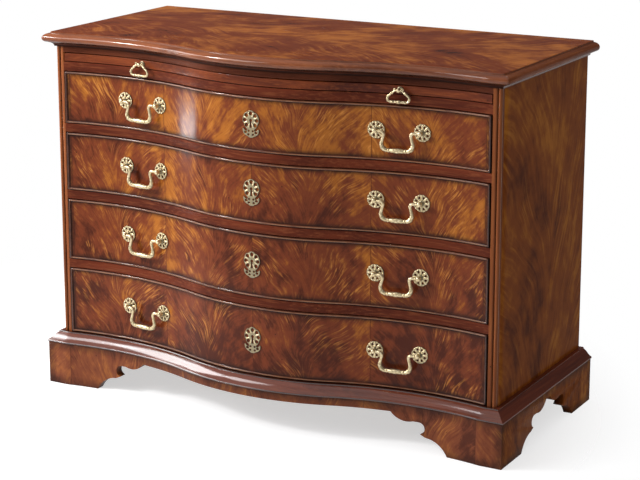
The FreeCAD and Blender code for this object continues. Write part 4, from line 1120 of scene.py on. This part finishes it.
def cast(name, points, sizes, leaves=((0.0, 0.0), (1.0, 0.0)), closed=False, **values):
    """Cast a rod over (x, z, way) points; a closed one runs into its own start."""
    count = len(points)
    mesh = bpy.data.meshes.new(name)
    runs = [(i, (i + 1) % count) for i in range(count if closed else count - 1)]
    mesh.from_pydata([(x, 0.0, z) for x, z, far in points], runs, [])
    store(mesh, "thickness", [at_way(sizes, far) for x, z, far in points])
    store(mesh, "leaf", [at_way(leaves, far) for x, z, far in points])
    store(mesh, "way", [far for x, z, far in points])
    return run_tree(mesh, rod, Finish=brass, **values)


def mm(table):
    """A table written in millimetres."""
    return [(a / 1000, b / 1000) for a, b in table]


print("a quarter bend of 10 mm ends at", ["%.4f" % c for c in walk(0.0, 0.0, 0.0, [(0.010, 90)])[-1]])

# %% [markdown]
# ## Bails
# A bail is a swan neck on each side, joined by a thick grip. Its ends are pins that sit in the eyes of two posts.
# It could be a curve drawn by eye, but runs and bends of given radii keep its arcs true and its pins straight. One
# half is walked from the pin to the middle, and the other half mirrors it.

# %% The bail pattern
BAIL_HALF = 0.049
bail_walk = walk(BAIL_HALF, 0.0, math.pi, [(0.0134,), (0.0065, 105), (0.01375,), (0.013, -105), (0.02032,)])
bail_path = bail_walk[:-1] + [(-x, z, far) for x, z, far in reversed(bail_walk)]
bail_sizes = mm([(0, 1.8), (5.9, 1.8), (6.1, 2.7), (6.9, 3.4), (7.7, 3.4), (8.5, 2.8), (12, 3.2), (19, 3.7),
                 (26, 3.3), (34, 3.2), (40, 3.9), (50, 5.0), (56, 5.0), (61, 4.2), (63.0, 3.2), (63.7, 4.2),
                 (64.4, 4.7), (66.0, 4.7), (66.6, 4.2), (67.3, 3.4), (70, 4.2), (76, 5.0), (80, 5.2), (86, 5.1)])
bail_leaves = [(0.0, 0.0), (0.012, 0.0), (0.016, 0.25), (0.030, 0.25), (0.036, 0.15), (0.044, 0.55), (0.057, 0.55),
               (0.061, 0.0), (0.0675, 0.0), (0.070, 0.45), (0.086, 0.45)]
bail_pattern = cast("bail", bail_path, bail_sizes, bail_leaves)
joint_of = {joint["child"]: joint for joint in frame["joints"]}


def hang(pattern, body):
    """A copy of a pattern at its hinge, square to the front there."""
    joint = joint_of[body]
    chord = -Vector(joint["axis"]).normalized()
    axes = (chord, Vector((-chord.y, chord.x, 0.0)), Vector((0.0, 0.0, 1.0)))
    copy = pattern.copy()
    copy.transform(Matrix.Translation(Vector(joint["pos_m"])) @ Matrix(axes).transposed().to_4x4())
    return copy


for drawer in DRAWERS:
    for side, sign in SIDES:
        body = "%s_%s_bail" % (drawer, side)
        casting = hang(bail_pattern, body)
        finish_piece(body + "_casting", casting, body, [body], CAST_CREASE)
print("bails:", 2 * len(DRAWERS), "of", len(bail_pattern.polygons), "faces each")

# %% [markdown]
# ## Loops of the brushing slide
# The slide is drawn by two small stirrups. Each hangs from one post, with a scroll on both sides of the post and a
# lumpy leaf along its foot. Modelled by itself it would need its own chasing, but as a closed rod it comes from the
# same tree as the bails. Scrolls are rods too, along a spiral whose radius shrinks.

# %% The loop pattern
loop_walk = walk(0.0, 0.0, 0.0, [(0.006,), (0.004, -40), (0.016,), (0.007, -140), (0.01633,)], step=0.0006)
loop_path = [(-x, z, far) for x, z, far in reversed(loop_walk[1:])] + loop_walk[:-1]
loop_sizes = mm([(0, 1.6), (4.9, 1.6), (5.1, 2.4), (5.8, 2.9), (6.6, 2.4), (9, 2.1), (13, 2.2), (15, 3.1), (17, 3.1),
                 (19, 2.2), (25, 2.5), (33, 3.0), (40, 2.5), (43, 2.9), (46, 3.5), (49, 2.6), (51, 2.6), (54, 3.4),
                 (59, 3.8)])
loop_leaves = [(0.0, 0.0), (0.018, 0.0), (0.024, 0.5), (0.040, 0.5), (0.044, 0.9), (0.060, 0.9)]
loop_ring = cast("loop", loop_path, loop_sizes, loop_leaves, closed=True, Sides=12, Leaf_depth=0.0006,
                 Leaf_pitch=900.0)
SCROLL_X, SCROLL_Z = 0.0078, 0.0022
SCROLL_R, SCROLL_SHRINK = 0.0028, 0.0018
SCROLL_LONG = 0.020
SCROLL_STEPS = 40
scroll_sizes = mm([(0, 1.15), (16, 0.9), (20, 1.25)])
scrolls = []
for sign in (-1, 1):
    spiral = []
    for k in range(SCROLL_STEPS + 1):
        t = k / SCROLL_STEPS
        a = math.radians(-100 + 400 * t)
        radius = SCROLL_R - SCROLL_SHRINK * t
        x = sign * (SCROLL_X + radius * math.cos(a))
        spiral.append((x, SCROLL_Z + radius * math.sin(a), SCROLL_LONG * t))
    scrolls.append(cast("scroll", spiral, scroll_sizes, Sides=10))
loop_pattern = joined_mesh("loop", [loop_ring] + scrolls)
for side, sign in SIDES:
    body = "slide_%s_loop" % side
    casting = hang(loop_pattern, body)
    finish_piece(body + "_casting", casting, body, [body], CAST_CREASE)
print("loops: 2, each", len(loop_pattern.polygons), "faces")

# %% [markdown]
# ## Posts and rosettes
# Each bail hangs from two posts, and each post stands on a pierced rosette. The post is turned and its eye is
# drilled: a lathe outline and one Boolean. The rosette is a flat casting, so a filled curve with holes makes the
# plate, and Geometry Nodes set the petals and beads in rings on it.

# %% Castings from drawn outlines
def plate(name, outline, holes, thickness, round_over, tarnish_and_shade):
    """A pierced plate lying on z = 0, drawn as a curve with holes and rounded over its edges."""
    drawing = bpy.data.curves.new(name, "CURVE")
    drawing.dimensions = "2D"
    drawing.fill_mode = "BOTH"
    for points in [outline] + list(holes):
        line_of = drawing.splines.new("POLY")
        line_of.points.add(len(points) - 1)
        for point, (x, y) in zip(line_of.points, points):
            point.co = (x, y, 0.0, 1.0)
        line_of.use_cyclic_u = True
    drawing.extrude = thickness / 2 - round_over
    drawing.bevel_depth = round_over
    drawing.bevel_resolution = 2
    drawing.offset = -round_over
    holder = bpy.data.objects.new(name, drawing)
    scene.collection.objects.link(holder)
    mesh = plain_mesh(holder)
    bpy.data.objects.remove(holder)
    mesh.transform(Matrix.Translation((0.0, 0.0, thickness / 2)))
    mesh.materials.clear()
    mesh.materials.append(brass)
    # Patina and painted shade: darker towards the wood, and the flat ground darker than the raised petals.
    return darken(mesh, lambda at: tarnish_and_shade + 0.95 - at.z / thickness, "recess")


def round_line(radius_at, count):
    """A closed line whose radius is a rule of the angle."""
    turns = [math.tau * k / count for k in range(count)]
    return [(radius_at(a) * math.cos(a), radius_at(a) * math.sin(a)) for a in turns]


def turned_mesh(name, profile, steps=28):
    """A turned piece about z from (radius, height) pairs."""
    circle = round_line(lambda a: 1.0, steps)
    mesh = skin(name, [[(radius * x, radius * y, height, 0.0, 0.0) for x, y in circle] for radius, height in profile])
    mesh.materials.append(brass)
    return mesh


print("a round line of four points:", [(round(x, 3), round(y, 3)) for x, y in round_line(lambda a: 1.0, 4)])

# %% Rings of petals and beads
petals, petals_in, petals_out = new_tree("ring_of_petals", "GeometryNodeTree", [
    ("Geometry", SHAPE, None), ("Count", COUNT, 8), ("Ring", FLOAT, 0.01), ("Length", FLOAT, 0.003),
    ("Width", FLOAT, 0.002), ("Height", FLOAT, 0.001), ("Lift", FLOAT, 0.002), ("Start", FLOAT, 0.0),
    ("Finish", FINISH, None)], [("Geometry", SHAPE)])
blob = add(petals, "GeometryNodeMeshUVSphere", {"Segments": 12, "Rings": 8, "Radius": 1.0}).outputs[0]
sizes_in = {0: petals_in["Length"], 1: petals_in["Width"], 2: petals_in["Height"]}
spread = add(petals, "ShaderNodeCombineXYZ", sizes_in).outputs[0]
petal = add(petals, "GeometryNodeTransform", {"Geometry": blob, "Scale": spread}).outputs[0]
circle = add(petals, "GeometryNodeMeshCircle", {"Vertices": petals_in["Count"], "Radius": petals_in["Ring"]}).outputs[0]
flat_turn = add(petals, "ShaderNodeCombineXYZ", {2: petals_in["Start"]}).outputs[0]
lifted = add(petals, "ShaderNodeCombineXYZ", {2: petals_in["Lift"]}).outputs[0]
raised = {"Geometry": circle, "Translation": lifted, "Rotation": flat_turn}
circle = add(petals, "GeometryNodeTransform", raised).outputs[0]
where = add(petals, "ShaderNodeSeparateXYZ", {0: add(petals, "GeometryNodeInputPosition").outputs[0]}).outputs
facing_out = add(petals, "ShaderNodeCombineXYZ", {2: calc(petals, "ARCTAN2", where["Y"], where["X"])}).outputs[0]
turned_out = add(petals, "FunctionNodeEulerToRotation", {0: facing_out}).outputs[0]
set_out = {"Points": circle, "Instance": petal, "Rotation": turned_out}
laid_out = add(petals, "GeometryNodeInstanceOnPoints", set_out).outputs[0]
real_petals = add(petals, "GeometryNodeRealizeInstances", {0: laid_out}).outputs[0]
# Patina and painted shade: each petal paler on top and darker at its foot.
up_share = calc(petals, "DIVIDE", calc(petals, "SUBTRACT", where["Z"], petals_in["Lift"]), petals_in["Height"])
kept = {"Geometry": real_petals, "Name": "recess", "Value": calc(petals, "SUBTRACT", 0.75, up_share)}
shaded = add(petals, "GeometryNodeStoreNamedAttribute", kept).outputs[0]
both_shapes = add(petals, "GeometryNodeJoinGeometry")
petals.links.new(shaded, both_shapes.inputs[0])
petals.links.new(petals_in["Geometry"], both_shapes.inputs[0])
dress(petals, both_shapes.outputs[0], petals_in, petals_out)
print("petal tree:", len(petals.nodes), "nodes")

# %% The rosette pattern
ROSETTE = 0.0185
ROSETTE_PLATE = 0.0018
ROUND_OVER = 0.0005
SCALLOP = 0.0009


def ring_holes(angles, ring, size, centre_y=0.0):
    """Drop-shaped holes in a ring, each with its broad end outwards."""
    drop = round_line(lambda t: size * (1.0 + 0.2 * math.cos(t)), 14)
    holes = []
    for degrees in angles:
        turn = Matrix.Rotation(math.radians(degrees), 2)
        placed = [turn @ Vector((ring + 1.15 * x, y)) for x, y in drop]
        holes.append([(at.x, at.y + centre_y) for at in placed])
    return holes


def with_petals(mesh, count, ring, length, width, height, lift, start=0.0):
    """A casting with a ring of petals on it."""
    return run_tree(mesh, petals, Finish=brass, Count=count, Ring=ring, Length=length, Width=width, Height=height,
                    Lift=lift, Start=start)


rim = round_line(lambda a: ROSETTE - SCALLOP * (0.5 + 0.5 * math.cos(12 * a)), 96)
piercings = ring_holes([22.5 + 45 * k for k in range(8)], 0.0117, 0.0023)
rosette = plate("rosette", rim, piercings, ROSETTE_PLATE, ROUND_OVER, 0.5)
rosette = with_petals(rosette, count=8, ring=0.0112, length=0.0050, width=0.0025, height=0.0014, lift=0.0014)
rosette = with_petals(rosette, count=16, ring=0.0164, length=0.0015, width=0.0022, height=0.0012, lift=0.0016)
rosette = with_petals(rosette, count=8, ring=0.0070, length=0.0018, width=0.0020, height=0.0012, lift=0.0017)
print("rosette:", len(rosette.polygons), "faces")

# %% Drilling an eye
def drilled(mesh, centre, direction, radius, start, end):
    """A mesh with a round hole along a direction, from start to end of the centre."""
    drill = turned_mesh("drill", [(radius, start), (radius, end)], steps=20)
    drill.transform(Matrix.Translation(centre) @ direction.to_track_quat("Z", "Y").to_matrix().to_4x4())
    work = bpy.data.objects.new("on_the_bench", mesh)
    tool = bpy.data.objects.new("drill_bit", drill)
    for thing in (work, tool):
        closed_shell = bmesh.new()
        closed_shell.from_mesh(thing.data)
        bmesh.ops.recalc_face_normals(closed_shell, faces=closed_shell.faces)
        closed_shell.to_mesh(thing.data)
        closed_shell.free()
        scene.collection.objects.link(thing)
    cut = work.modifiers.new("eye", "BOOLEAN")
    cut.operation = "DIFFERENCE"
    cut.solver = "EXACT"
    cut.object = tool
    made = plain_mesh(work)
    bpy.data.objects.remove(work)
    bpy.data.objects.remove(tool)
    return made


BLIND_END = -0.0012
THROUGH_END = -0.010
DRILL_START = 0.012
print("a blind eye ends", -BLIND_END, "m behind the post's middle")

# %% The post with its eye
POST_REACH = 0.014
POST_EYE = 0.00215
POST_NECK = 0.0065
post_profile = [(0.0052, 0.0006), (0.0060, 0.0030), (0.0058, 0.0042), (0.0040, 0.0052), (0.0037, 0.0064),
                (0.0040, 0.0076), (0.0047, 0.0092), (0.0049, 0.0110), (0.0049, 0.0165), (0.0046, 0.0175),
                (0.0036, 0.0184), (0.0020, 0.0189), (0.0004, 0.0190)]


def standing(foot, out):
    """The frame of something that stands on the front: its own z points out and its y up."""
    up = Vector((0.0, 0.0, 1.0))
    return Matrix.Translation(foot) @ Matrix((up.cross(out), up, out)).transposed().to_4x4()


def post_on(x, z, towards, profile, reach, eye, drill_end):
    """A post on the front at x, drilled for a pin that comes from the direction towards."""
    foot = Vector((x, front_y(x), z))
    out = (Vector((math.copysign(HOLLOW_X, x), HOLLOW_CENTRE, 0.0)) - Vector((x, front_y(x), 0.0))).normalized()
    eye_at = foot + out * reach
    post = turned_mesh("post", profile)
    post.transform(standing(foot, out))
    post = drilled(post, eye_at, towards, eye, drill_end, DRILL_START)

    def tarnish_and_shade(at):
        """Patina and painted shade at the foot and round the eye, pale where a hand comes."""
        if (at - foot).dot(out) < POST_NECK:
            return 0.6
        return 0.8 if (at - eye_at).length < eye + 0.001 else 0.1

    return foot, out, darken(post, tarnish_and_shade, "recess")


print("post:", len(post_profile), "turnings, its eye", POST_REACH, "m from the front")

# %% Mounting the handles
ROSETTE_LIFT = 0.00026
POST_X = (0.262, 0.360)


def mounts_of(drawer):
    """All four rosettes and posts of a drawer as one mesh, and where the bolts come through."""
    castings = []
    bolts = []
    for side, sign in SIDES:
        joint = joint_of["%s_%s_bail" % (drawer, side)]
        middle_at = Vector(joint["pos_m"])
        chord = Vector(joint["axis"]).normalized()
        for x in POST_X:
            to_middle = Vector((middle_at.x - sign * x, 0.0, 0.0))
            towards = chord if to_middle.dot(chord) > 0 else -chord
            foot, out, post = post_on(sign * x, middle_at.z, towards, post_profile, POST_REACH, POST_EYE, BLIND_END)
            disc = rosette.copy()
            disc.transform(standing(foot + out * ROSETTE_LIFT, out))
            castings += [post, disc]
            bolts.append((foot - out * FRONT, -out))
    return joined_mesh(drawer + "_mounts", castings), bolts


bolt_ends = {}
for drawer in DRAWERS:
    mesh, bolt_ends[drawer] = mounts_of(drawer)
    finish_piece(drawer + "_rosettes_and_posts", mesh, drawer, [drawer + "_handle_mounts"],
                 CAST_CREASE)
print("mounts:", sum(len(ends) for ends in bolt_ends.values()), "posts on rosettes")

# %% The posts of the slide
LOOP_REACH = 0.011
LOOP_EYE = 0.0020
loop_profile = [(0.0050, 0.0002), (0.0066, 0.0006), (0.0066, 0.0016), (0.0048, 0.0026), (0.0034, 0.0038),
                (0.0034, 0.0052), (0.0040, 0.0070), (0.0042, 0.0090), (0.0042, 0.0130), (0.0036, 0.0144),
                (0.0022, 0.0151), (0.0003, 0.0152)]
loop_posts = []
for side, sign in SIDES:
    joint = joint_of["slide_%s_loop" % side]
    chord = Vector(joint["axis"]).normalized()
    foot_x = joint["pos_m"][0] - sign * abs(chord.y) * LOOP_REACH
    loop_posts.append(post_on(foot_x, joint["pos_m"][2], chord, loop_profile, LOOP_REACH, LOOP_EYE, THROUGH_END)[2])
finish_piece("slide_posts", joined_mesh("slide_posts", loop_posts), "brushing_slide",
             ["slide_loop_posts"], CAST_CREASE)
print("slide posts:", len(loop_posts))

# %% [markdown]
# ## Nuts behind the fronts
# Every post ends in a bolt that goes through the drawer front and is held by a nut inside. A loop could copy them
# one by one, but sixteen equal small things at given points, each facing its own way, are a task for instances:
# the points carry the direction.

# %% The nuts
WASHER = 0.0008
nuts, nuts_in, nuts_out = new_tree("nuts_on_bolts", "GeometryNodeTree", [
    ("Geometry", SHAPE, None), ("Across", FLOAT, 0.0075), ("Thick", FLOAT, 0.0032), ("Bolt", FLOAT, 0.0019),
    ("Finish", FINISH, None)], [("Geometry", SHAPE)])
aligned = add(nuts, "FunctionNodeAlignRotationToVector", {"Vector": named(nuts, "inwards", "FLOAT_VECTOR")},
              axis="Z").outputs[0]
nut_middle = calc(nuts, "ADD", calc(nuts, "MULTIPLY", nuts_in["Thick"], 0.5), WASHER)
washer_wide = calc(nuts, "MULTIPLY", nuts_in["Across"], 1.35)
bolt_long = calc(nuts, "MULTIPLY", nuts_in["Thick"], 2.0)
set_of_three = add(nuts, "GeometryNodeJoinGeometry")
for sides, radius, depth, height in ((6, nuts_in["Across"], nuts_in["Thick"], nut_middle),
                                     (24, washer_wide, WASHER, WASHER / 2),
                                     (16, nuts_in["Bolt"], bolt_long, nuts_in["Thick"])):
    shape = add(nuts, "GeometryNodeMeshCylinder", {"Vertices": sides, "Radius": radius, "Depth": depth}).outputs["Mesh"]
    rise = add(nuts, "ShaderNodeCombineXYZ", {2: height}).outputs[0]
    shape = add(nuts, "GeometryNodeTransform", {"Geometry": shape, "Translation": rise}).outputs[0]
    nuts.links.new(shape, set_of_three.inputs[0])
set_on = {"Points": nuts_in["Geometry"], "Instance": set_of_three.outputs[0], "Rotation": aligned}
dress(nuts, add(nuts, "GeometryNodeInstanceOnPoints", set_on).outputs[0], nuts_in, nuts_out)
for drawer, ends in bolt_ends.items():
    mesh = bpy.data.meshes.new(drawer + "_nuts")
    mesh.from_pydata([end for end, way_in in ends], [], [])
    directions = [c for end, way_in in ends for c in way_in]
    mesh.attributes.new("inwards", "FLOAT_VECTOR", "POINT").data.foreach_set("vector", directions)
    finish_piece(drawer + "_nuts", run_tree(mesh, nuts, Finish=brass), drawer)
print("nuts:", sum(len(ends) for ends in bolt_ends.values()))

# %% [markdown]
# ## Escutcheons
# A small pierced plate is pinned over the place of each keyhole. It widens above, narrows to a waist, and ends in
# two turned-up ears and a foot. Booleans could pierce it, but a filled curve takes the windows as holes, as the
# rosette's does. The half outline is drawn in shares of the plate and mirrored.

# %% The escutcheon pattern
PLATE_W, PLATE_H, PLATE_T = 0.0395, 0.0575, 0.0018
PLATE_HALF = ((0.0, 1.0), (0.18, 0.985), (0.34, 0.93), (0.44, 0.85), (0.58, 0.85), (0.74, 0.78), (0.88, 0.64),
              (0.97, 0.46), (1.0, 0.28), (0.95, 0.12), (0.84, 0.02), (0.80, -0.10), (0.66, -0.24), (0.50, -0.34),
              (0.42, -0.43), (0.47, -0.50), (0.62, -0.50), (0.78, -0.43), (0.90, -0.33), (0.98, -0.36),
              (1.0, -0.48), (0.93, -0.64), (0.78, -0.77), (0.58, -0.86), (0.38, -0.90), (0.26, -0.97),
              (0.12, -0.995), (0.0, -1.0))
LOWER_WINDOWS = ((0.0050, -0.0144, 0.0024, 0.0024), (0.0124, -0.0174, 0.0034, 0.0024),
                 (0.0056, -0.0220, 0.0027, 0.0022))
CROWN = 0.0080
KEY_R = 0.0032
SLOT_HALF, SLOT_END = 0.0024, -0.0075
plate_line = [(x * PLATE_W / 2, y * PLATE_H / 2) for x, y in PLATE_HALF]
plate_line += [(-x, y) for x, y in reversed(plate_line[1:-1])]
key_turns = [math.radians(degrees) for degrees in range(-60, 241, 20)]
keyhole = [(KEY_R * math.cos(a), CROWN + KEY_R * math.sin(a)) for a in key_turns]
keyhole += [(-SLOT_HALF, SLOT_END), (SLOT_HALF, SLOT_END)]
windows = [keyhole] + ring_holes((-45, 0, 45, 90, 135, 180, 225), 0.0136, 0.0037, CROWN)
for sign in (-1, 1):
    for x, y, wide, tall in LOWER_WINDOWS:
        windows.append([(sign * x + wide * px, y + tall * py) for px, py in round_line(lambda a: 1.0, 12)])
escutcheon = plate("escutcheon", plate_line, windows, PLATE_T, ROUND_OVER, 0.6)
escutcheon = with_petals(escutcheon, count=2, ring=0.0256, length=0.0017, width=0.0017, height=0.0010, lift=0.0014,
                         start=QUARTER)
escutcheon.transform(Matrix.Translation((0.0, -CROWN, 0.0)))
escutcheon = with_petals(escutcheon, count=8, ring=0.0126, length=0.0054, width=0.0018, height=0.0010, lift=0.0014,
                         start=QUARTER / 4)
escutcheon.transform(Matrix.Translation((0.0, CROWN, 0.0)))
for drawer in DRAWERS:
    node = drawer + "_escutcheon"
    centre = (low(node) + high(node)) / 2
    copy = escutcheon.copy()
    copy.transform(standing(Vector((0.0, high(node).y, centre.z)), Vector((0.0, -1.0, 0.0))))
    finish_piece(drawer + "_keyhole_plate", copy, drawer, [node], CAST_CREASE)
print("escutcheons: 4, each", len(escutcheon.polygons), "faces")

# %% [markdown]
# ## Inside and back
# Linings, runners, dust boards, the back and the case sides are plain boards, and their solids already have the
# right shape. They could be built again with eased edges, but they are little seen. They only need a finish: veneer
# on the sides, and inside bare wood with its grain along the board.

# %% Finishes for the solids that stay
stay = {"left_side": "flame_side", "right_side": "flame_side", "drawer_runners": "lining_along"}
for node in ("back_panel", "bottom_board", "dust_boards", "drawer_stops", "rear_brackets", "foot_blocks"):
    stay[node] = "lining_across"
for drawer in DRAWERS:
    stay[drawer + "_sides"] = "lining_along"
    stay[drawer + "_back"] = "lining_across"
    stay[drawer + "_bottom"] = "lining_across"
for node, finish in stay.items():
    solid = frame["nodes"][node].data
    solid.materials.clear()
    solid.materials.append(finishes[finish])
print("solids with a new finish:", len(stay))

# %% [markdown]
# ## Floor, light and camera
# The chest stands on a white sweep under soft lamps. Strong lamps could make a floor white, but they would wash out
# the wood, so the floor's material glows for the camera and for reflections. It keeps the shadow between the feet
# and fades out before it ends. Three lamps stand high on the left, a small one for form, a large one for soft
# shadows and a card that lights the base moulding. A small low one draws the long glint on the first drawer, and
# a weak one behind lifts the top's far edge.

# %% The floor
FLOOR_R = 3.2
FLOOR_GLOW = 0.55
FADE_ROUND = (-0.35, -0.2, 0.0)
FADE_FROM, FADE_TO = 0.80, 1.20
WHITE = (1.0, 1.0, 1.0, 1.0)
bpy.ops.mesh.primitive_circle_add(vertices=96, radius=FLOOR_R, fill_type="NGON")
floor = bpy.context.object
floor.name = "floor"
floor_finish = bpy.data.materials.new("white_sweep")
floor_finish.use_nodes = True
tree = floor_finish.node_tree
tree.nodes.clear()
rays = add(tree, "ShaderNodeLightPath").outputs
seen = calc(tree, "ADD", rays["Is Camera Ray"], rays["Is Glossy Ray"])
seen = calc(tree, "MINIMUM", calc(tree, "ADD", seen, rays["Is Transmission Ray"]), 1.0)
matt = add(tree, "ShaderNodeBsdfDiffuse", {"Color": (0.66, 0.66, 0.665, 1.0)}).outputs[0]
glow_level = calc(tree, "MULTIPLY", seen, FLOOR_GLOW)
glow = add(tree, "ShaderNodeEmission", {"Color": WHITE, "Strength": glow_level}).outputs[0]
lit = add(tree, "ShaderNodeAddShader", {0: matt, 1: glow}).outputs[0]
place = add(tree, "ShaderNodeTexCoord").outputs["Object"]
from_chest = add(tree, "ShaderNodeVectorMath", {0: place, 1: FADE_ROUND}, operation="DISTANCE").outputs["Value"]
fade = between(tree, from_chest, FADE_FROM, FADE_TO)
clear = add(tree, "ShaderNodeBsdfTransparent").outputs[0]
ground_look = add(tree, "ShaderNodeMixShader", {0: fade, 1: lit, 2: clear}).outputs[0]
add(tree, "ShaderNodeOutputMaterial", {"Surface": ground_look})
floor.data.materials.append(floor_finish)
print("floor:", floor.dimensions.x, "m across")

# %% The room
ROOM_LEVEL = 0.38
world = bpy.data.worlds.new("studio")
scene.world = world
world.use_nodes = True
tree = world.node_tree
tree.nodes.clear()
rays = add(tree, "ShaderNodeLightPath").outputs
direction = add(tree, "ShaderNodeTexCoord").outputs["Generated"]
height = add(tree, "ShaderNodeSeparateXYZ", {0: direction}).outputs["Z"]
horizon = between(tree, height, 0.02, 0.12, 1.0, 0.14)
ceiling = calc(tree, "ADD", horizon, between(tree, height, 0.45, 1.0, 0.0, 0.55))
mirrored_light = calc(tree, "MAXIMUM", rays["Is Glossy Ray"], rays["Is Transmission Ray"])
plain_light = calc(tree, "MULTIPLY", calc(tree, "SUBTRACT", 1.0, mirrored_light), ROOM_LEVEL)
level = calc(tree, "MULTIPLY_ADD", mirrored_light, ceiling, plain_light)
level = calc(tree, "MAXIMUM", level, rays["Is Camera Ray"])
sky = add(tree, "ShaderNodeBackground", {"Color": WHITE, "Strength": level}).outputs[0]
add(tree, "ShaderNodeOutputWorld", {"Surface": sky})
print("room: white to the camera, a level of", ROOM_LEVEL, "on the chest")

# %% Lamps
def softbox(name, place_at, aim, wide, tall, watts):
    """A soft lamp at a place, aimed at a point."""
    lamp = bpy.data.lights.new(name, "AREA")
    lamp.shape = "RECTANGLE"
    lamp.size = wide
    lamp.size_y = tall
    lamp.energy = watts
    holder = bpy.data.objects.new(name, lamp)
    holder.location = place_at
    holder.rotation_euler = (Vector(aim) - Vector(place_at)).to_track_quat("-Z", "Y").to_euler()
    scene.collection.objects.link(holder)
    return lamp


lamps = [softbox("high_left", (-2.3, -1.85, 2.05), (0.0, -0.2, 0.45), wide=0.42, tall=0.42, watts=52.0),
         softbox("soft_left", (-1.9, -2.3, 2.3), (0.0, -0.2, 0.45), wide=1.6, tall=1.6, watts=48.0),
         softbox("left_card", (-1.75, -0.6, 1.3), (-0.2, -0.3, 0.1), wide=1.0, tall=0.6, watts=17.0),
         softbox("glint", (-2.46, -0.99, 0.15), (-0.17, -0.213, 0.63), wide=0.24, tall=0.09, watts=2.4),
         softbox("high_back", (0.6, 1.6, 2.6), (0.0, 0.0, 0.6), wide=1.6, tall=0.9, watts=8.0)]
print("lamps:", len(lamps), "with", sum(lamp.energy for lamp in lamps), "W in all")

# %% Camera
PITCH, YAW = 13.159, 29.105
lens = bpy.data.cameras.new("photograph")
lens.sensor_width = 36.0
lens.lens = 108.70
lens.shift_y = -0.09375
camera = bpy.data.objects.new("photograph", lens)
camera.location = (2.0239, -3.5865, 1.4566)
camera.rotation_euler = (math.radians(90.0 - PITCH), 0.0, math.radians(YAW))
scene.collection.objects.link(camera)
scene.camera = camera
scene.view_settings.view_transform = "Standard"
print("camera at", tuple(round(c, 3) for c in camera.location))
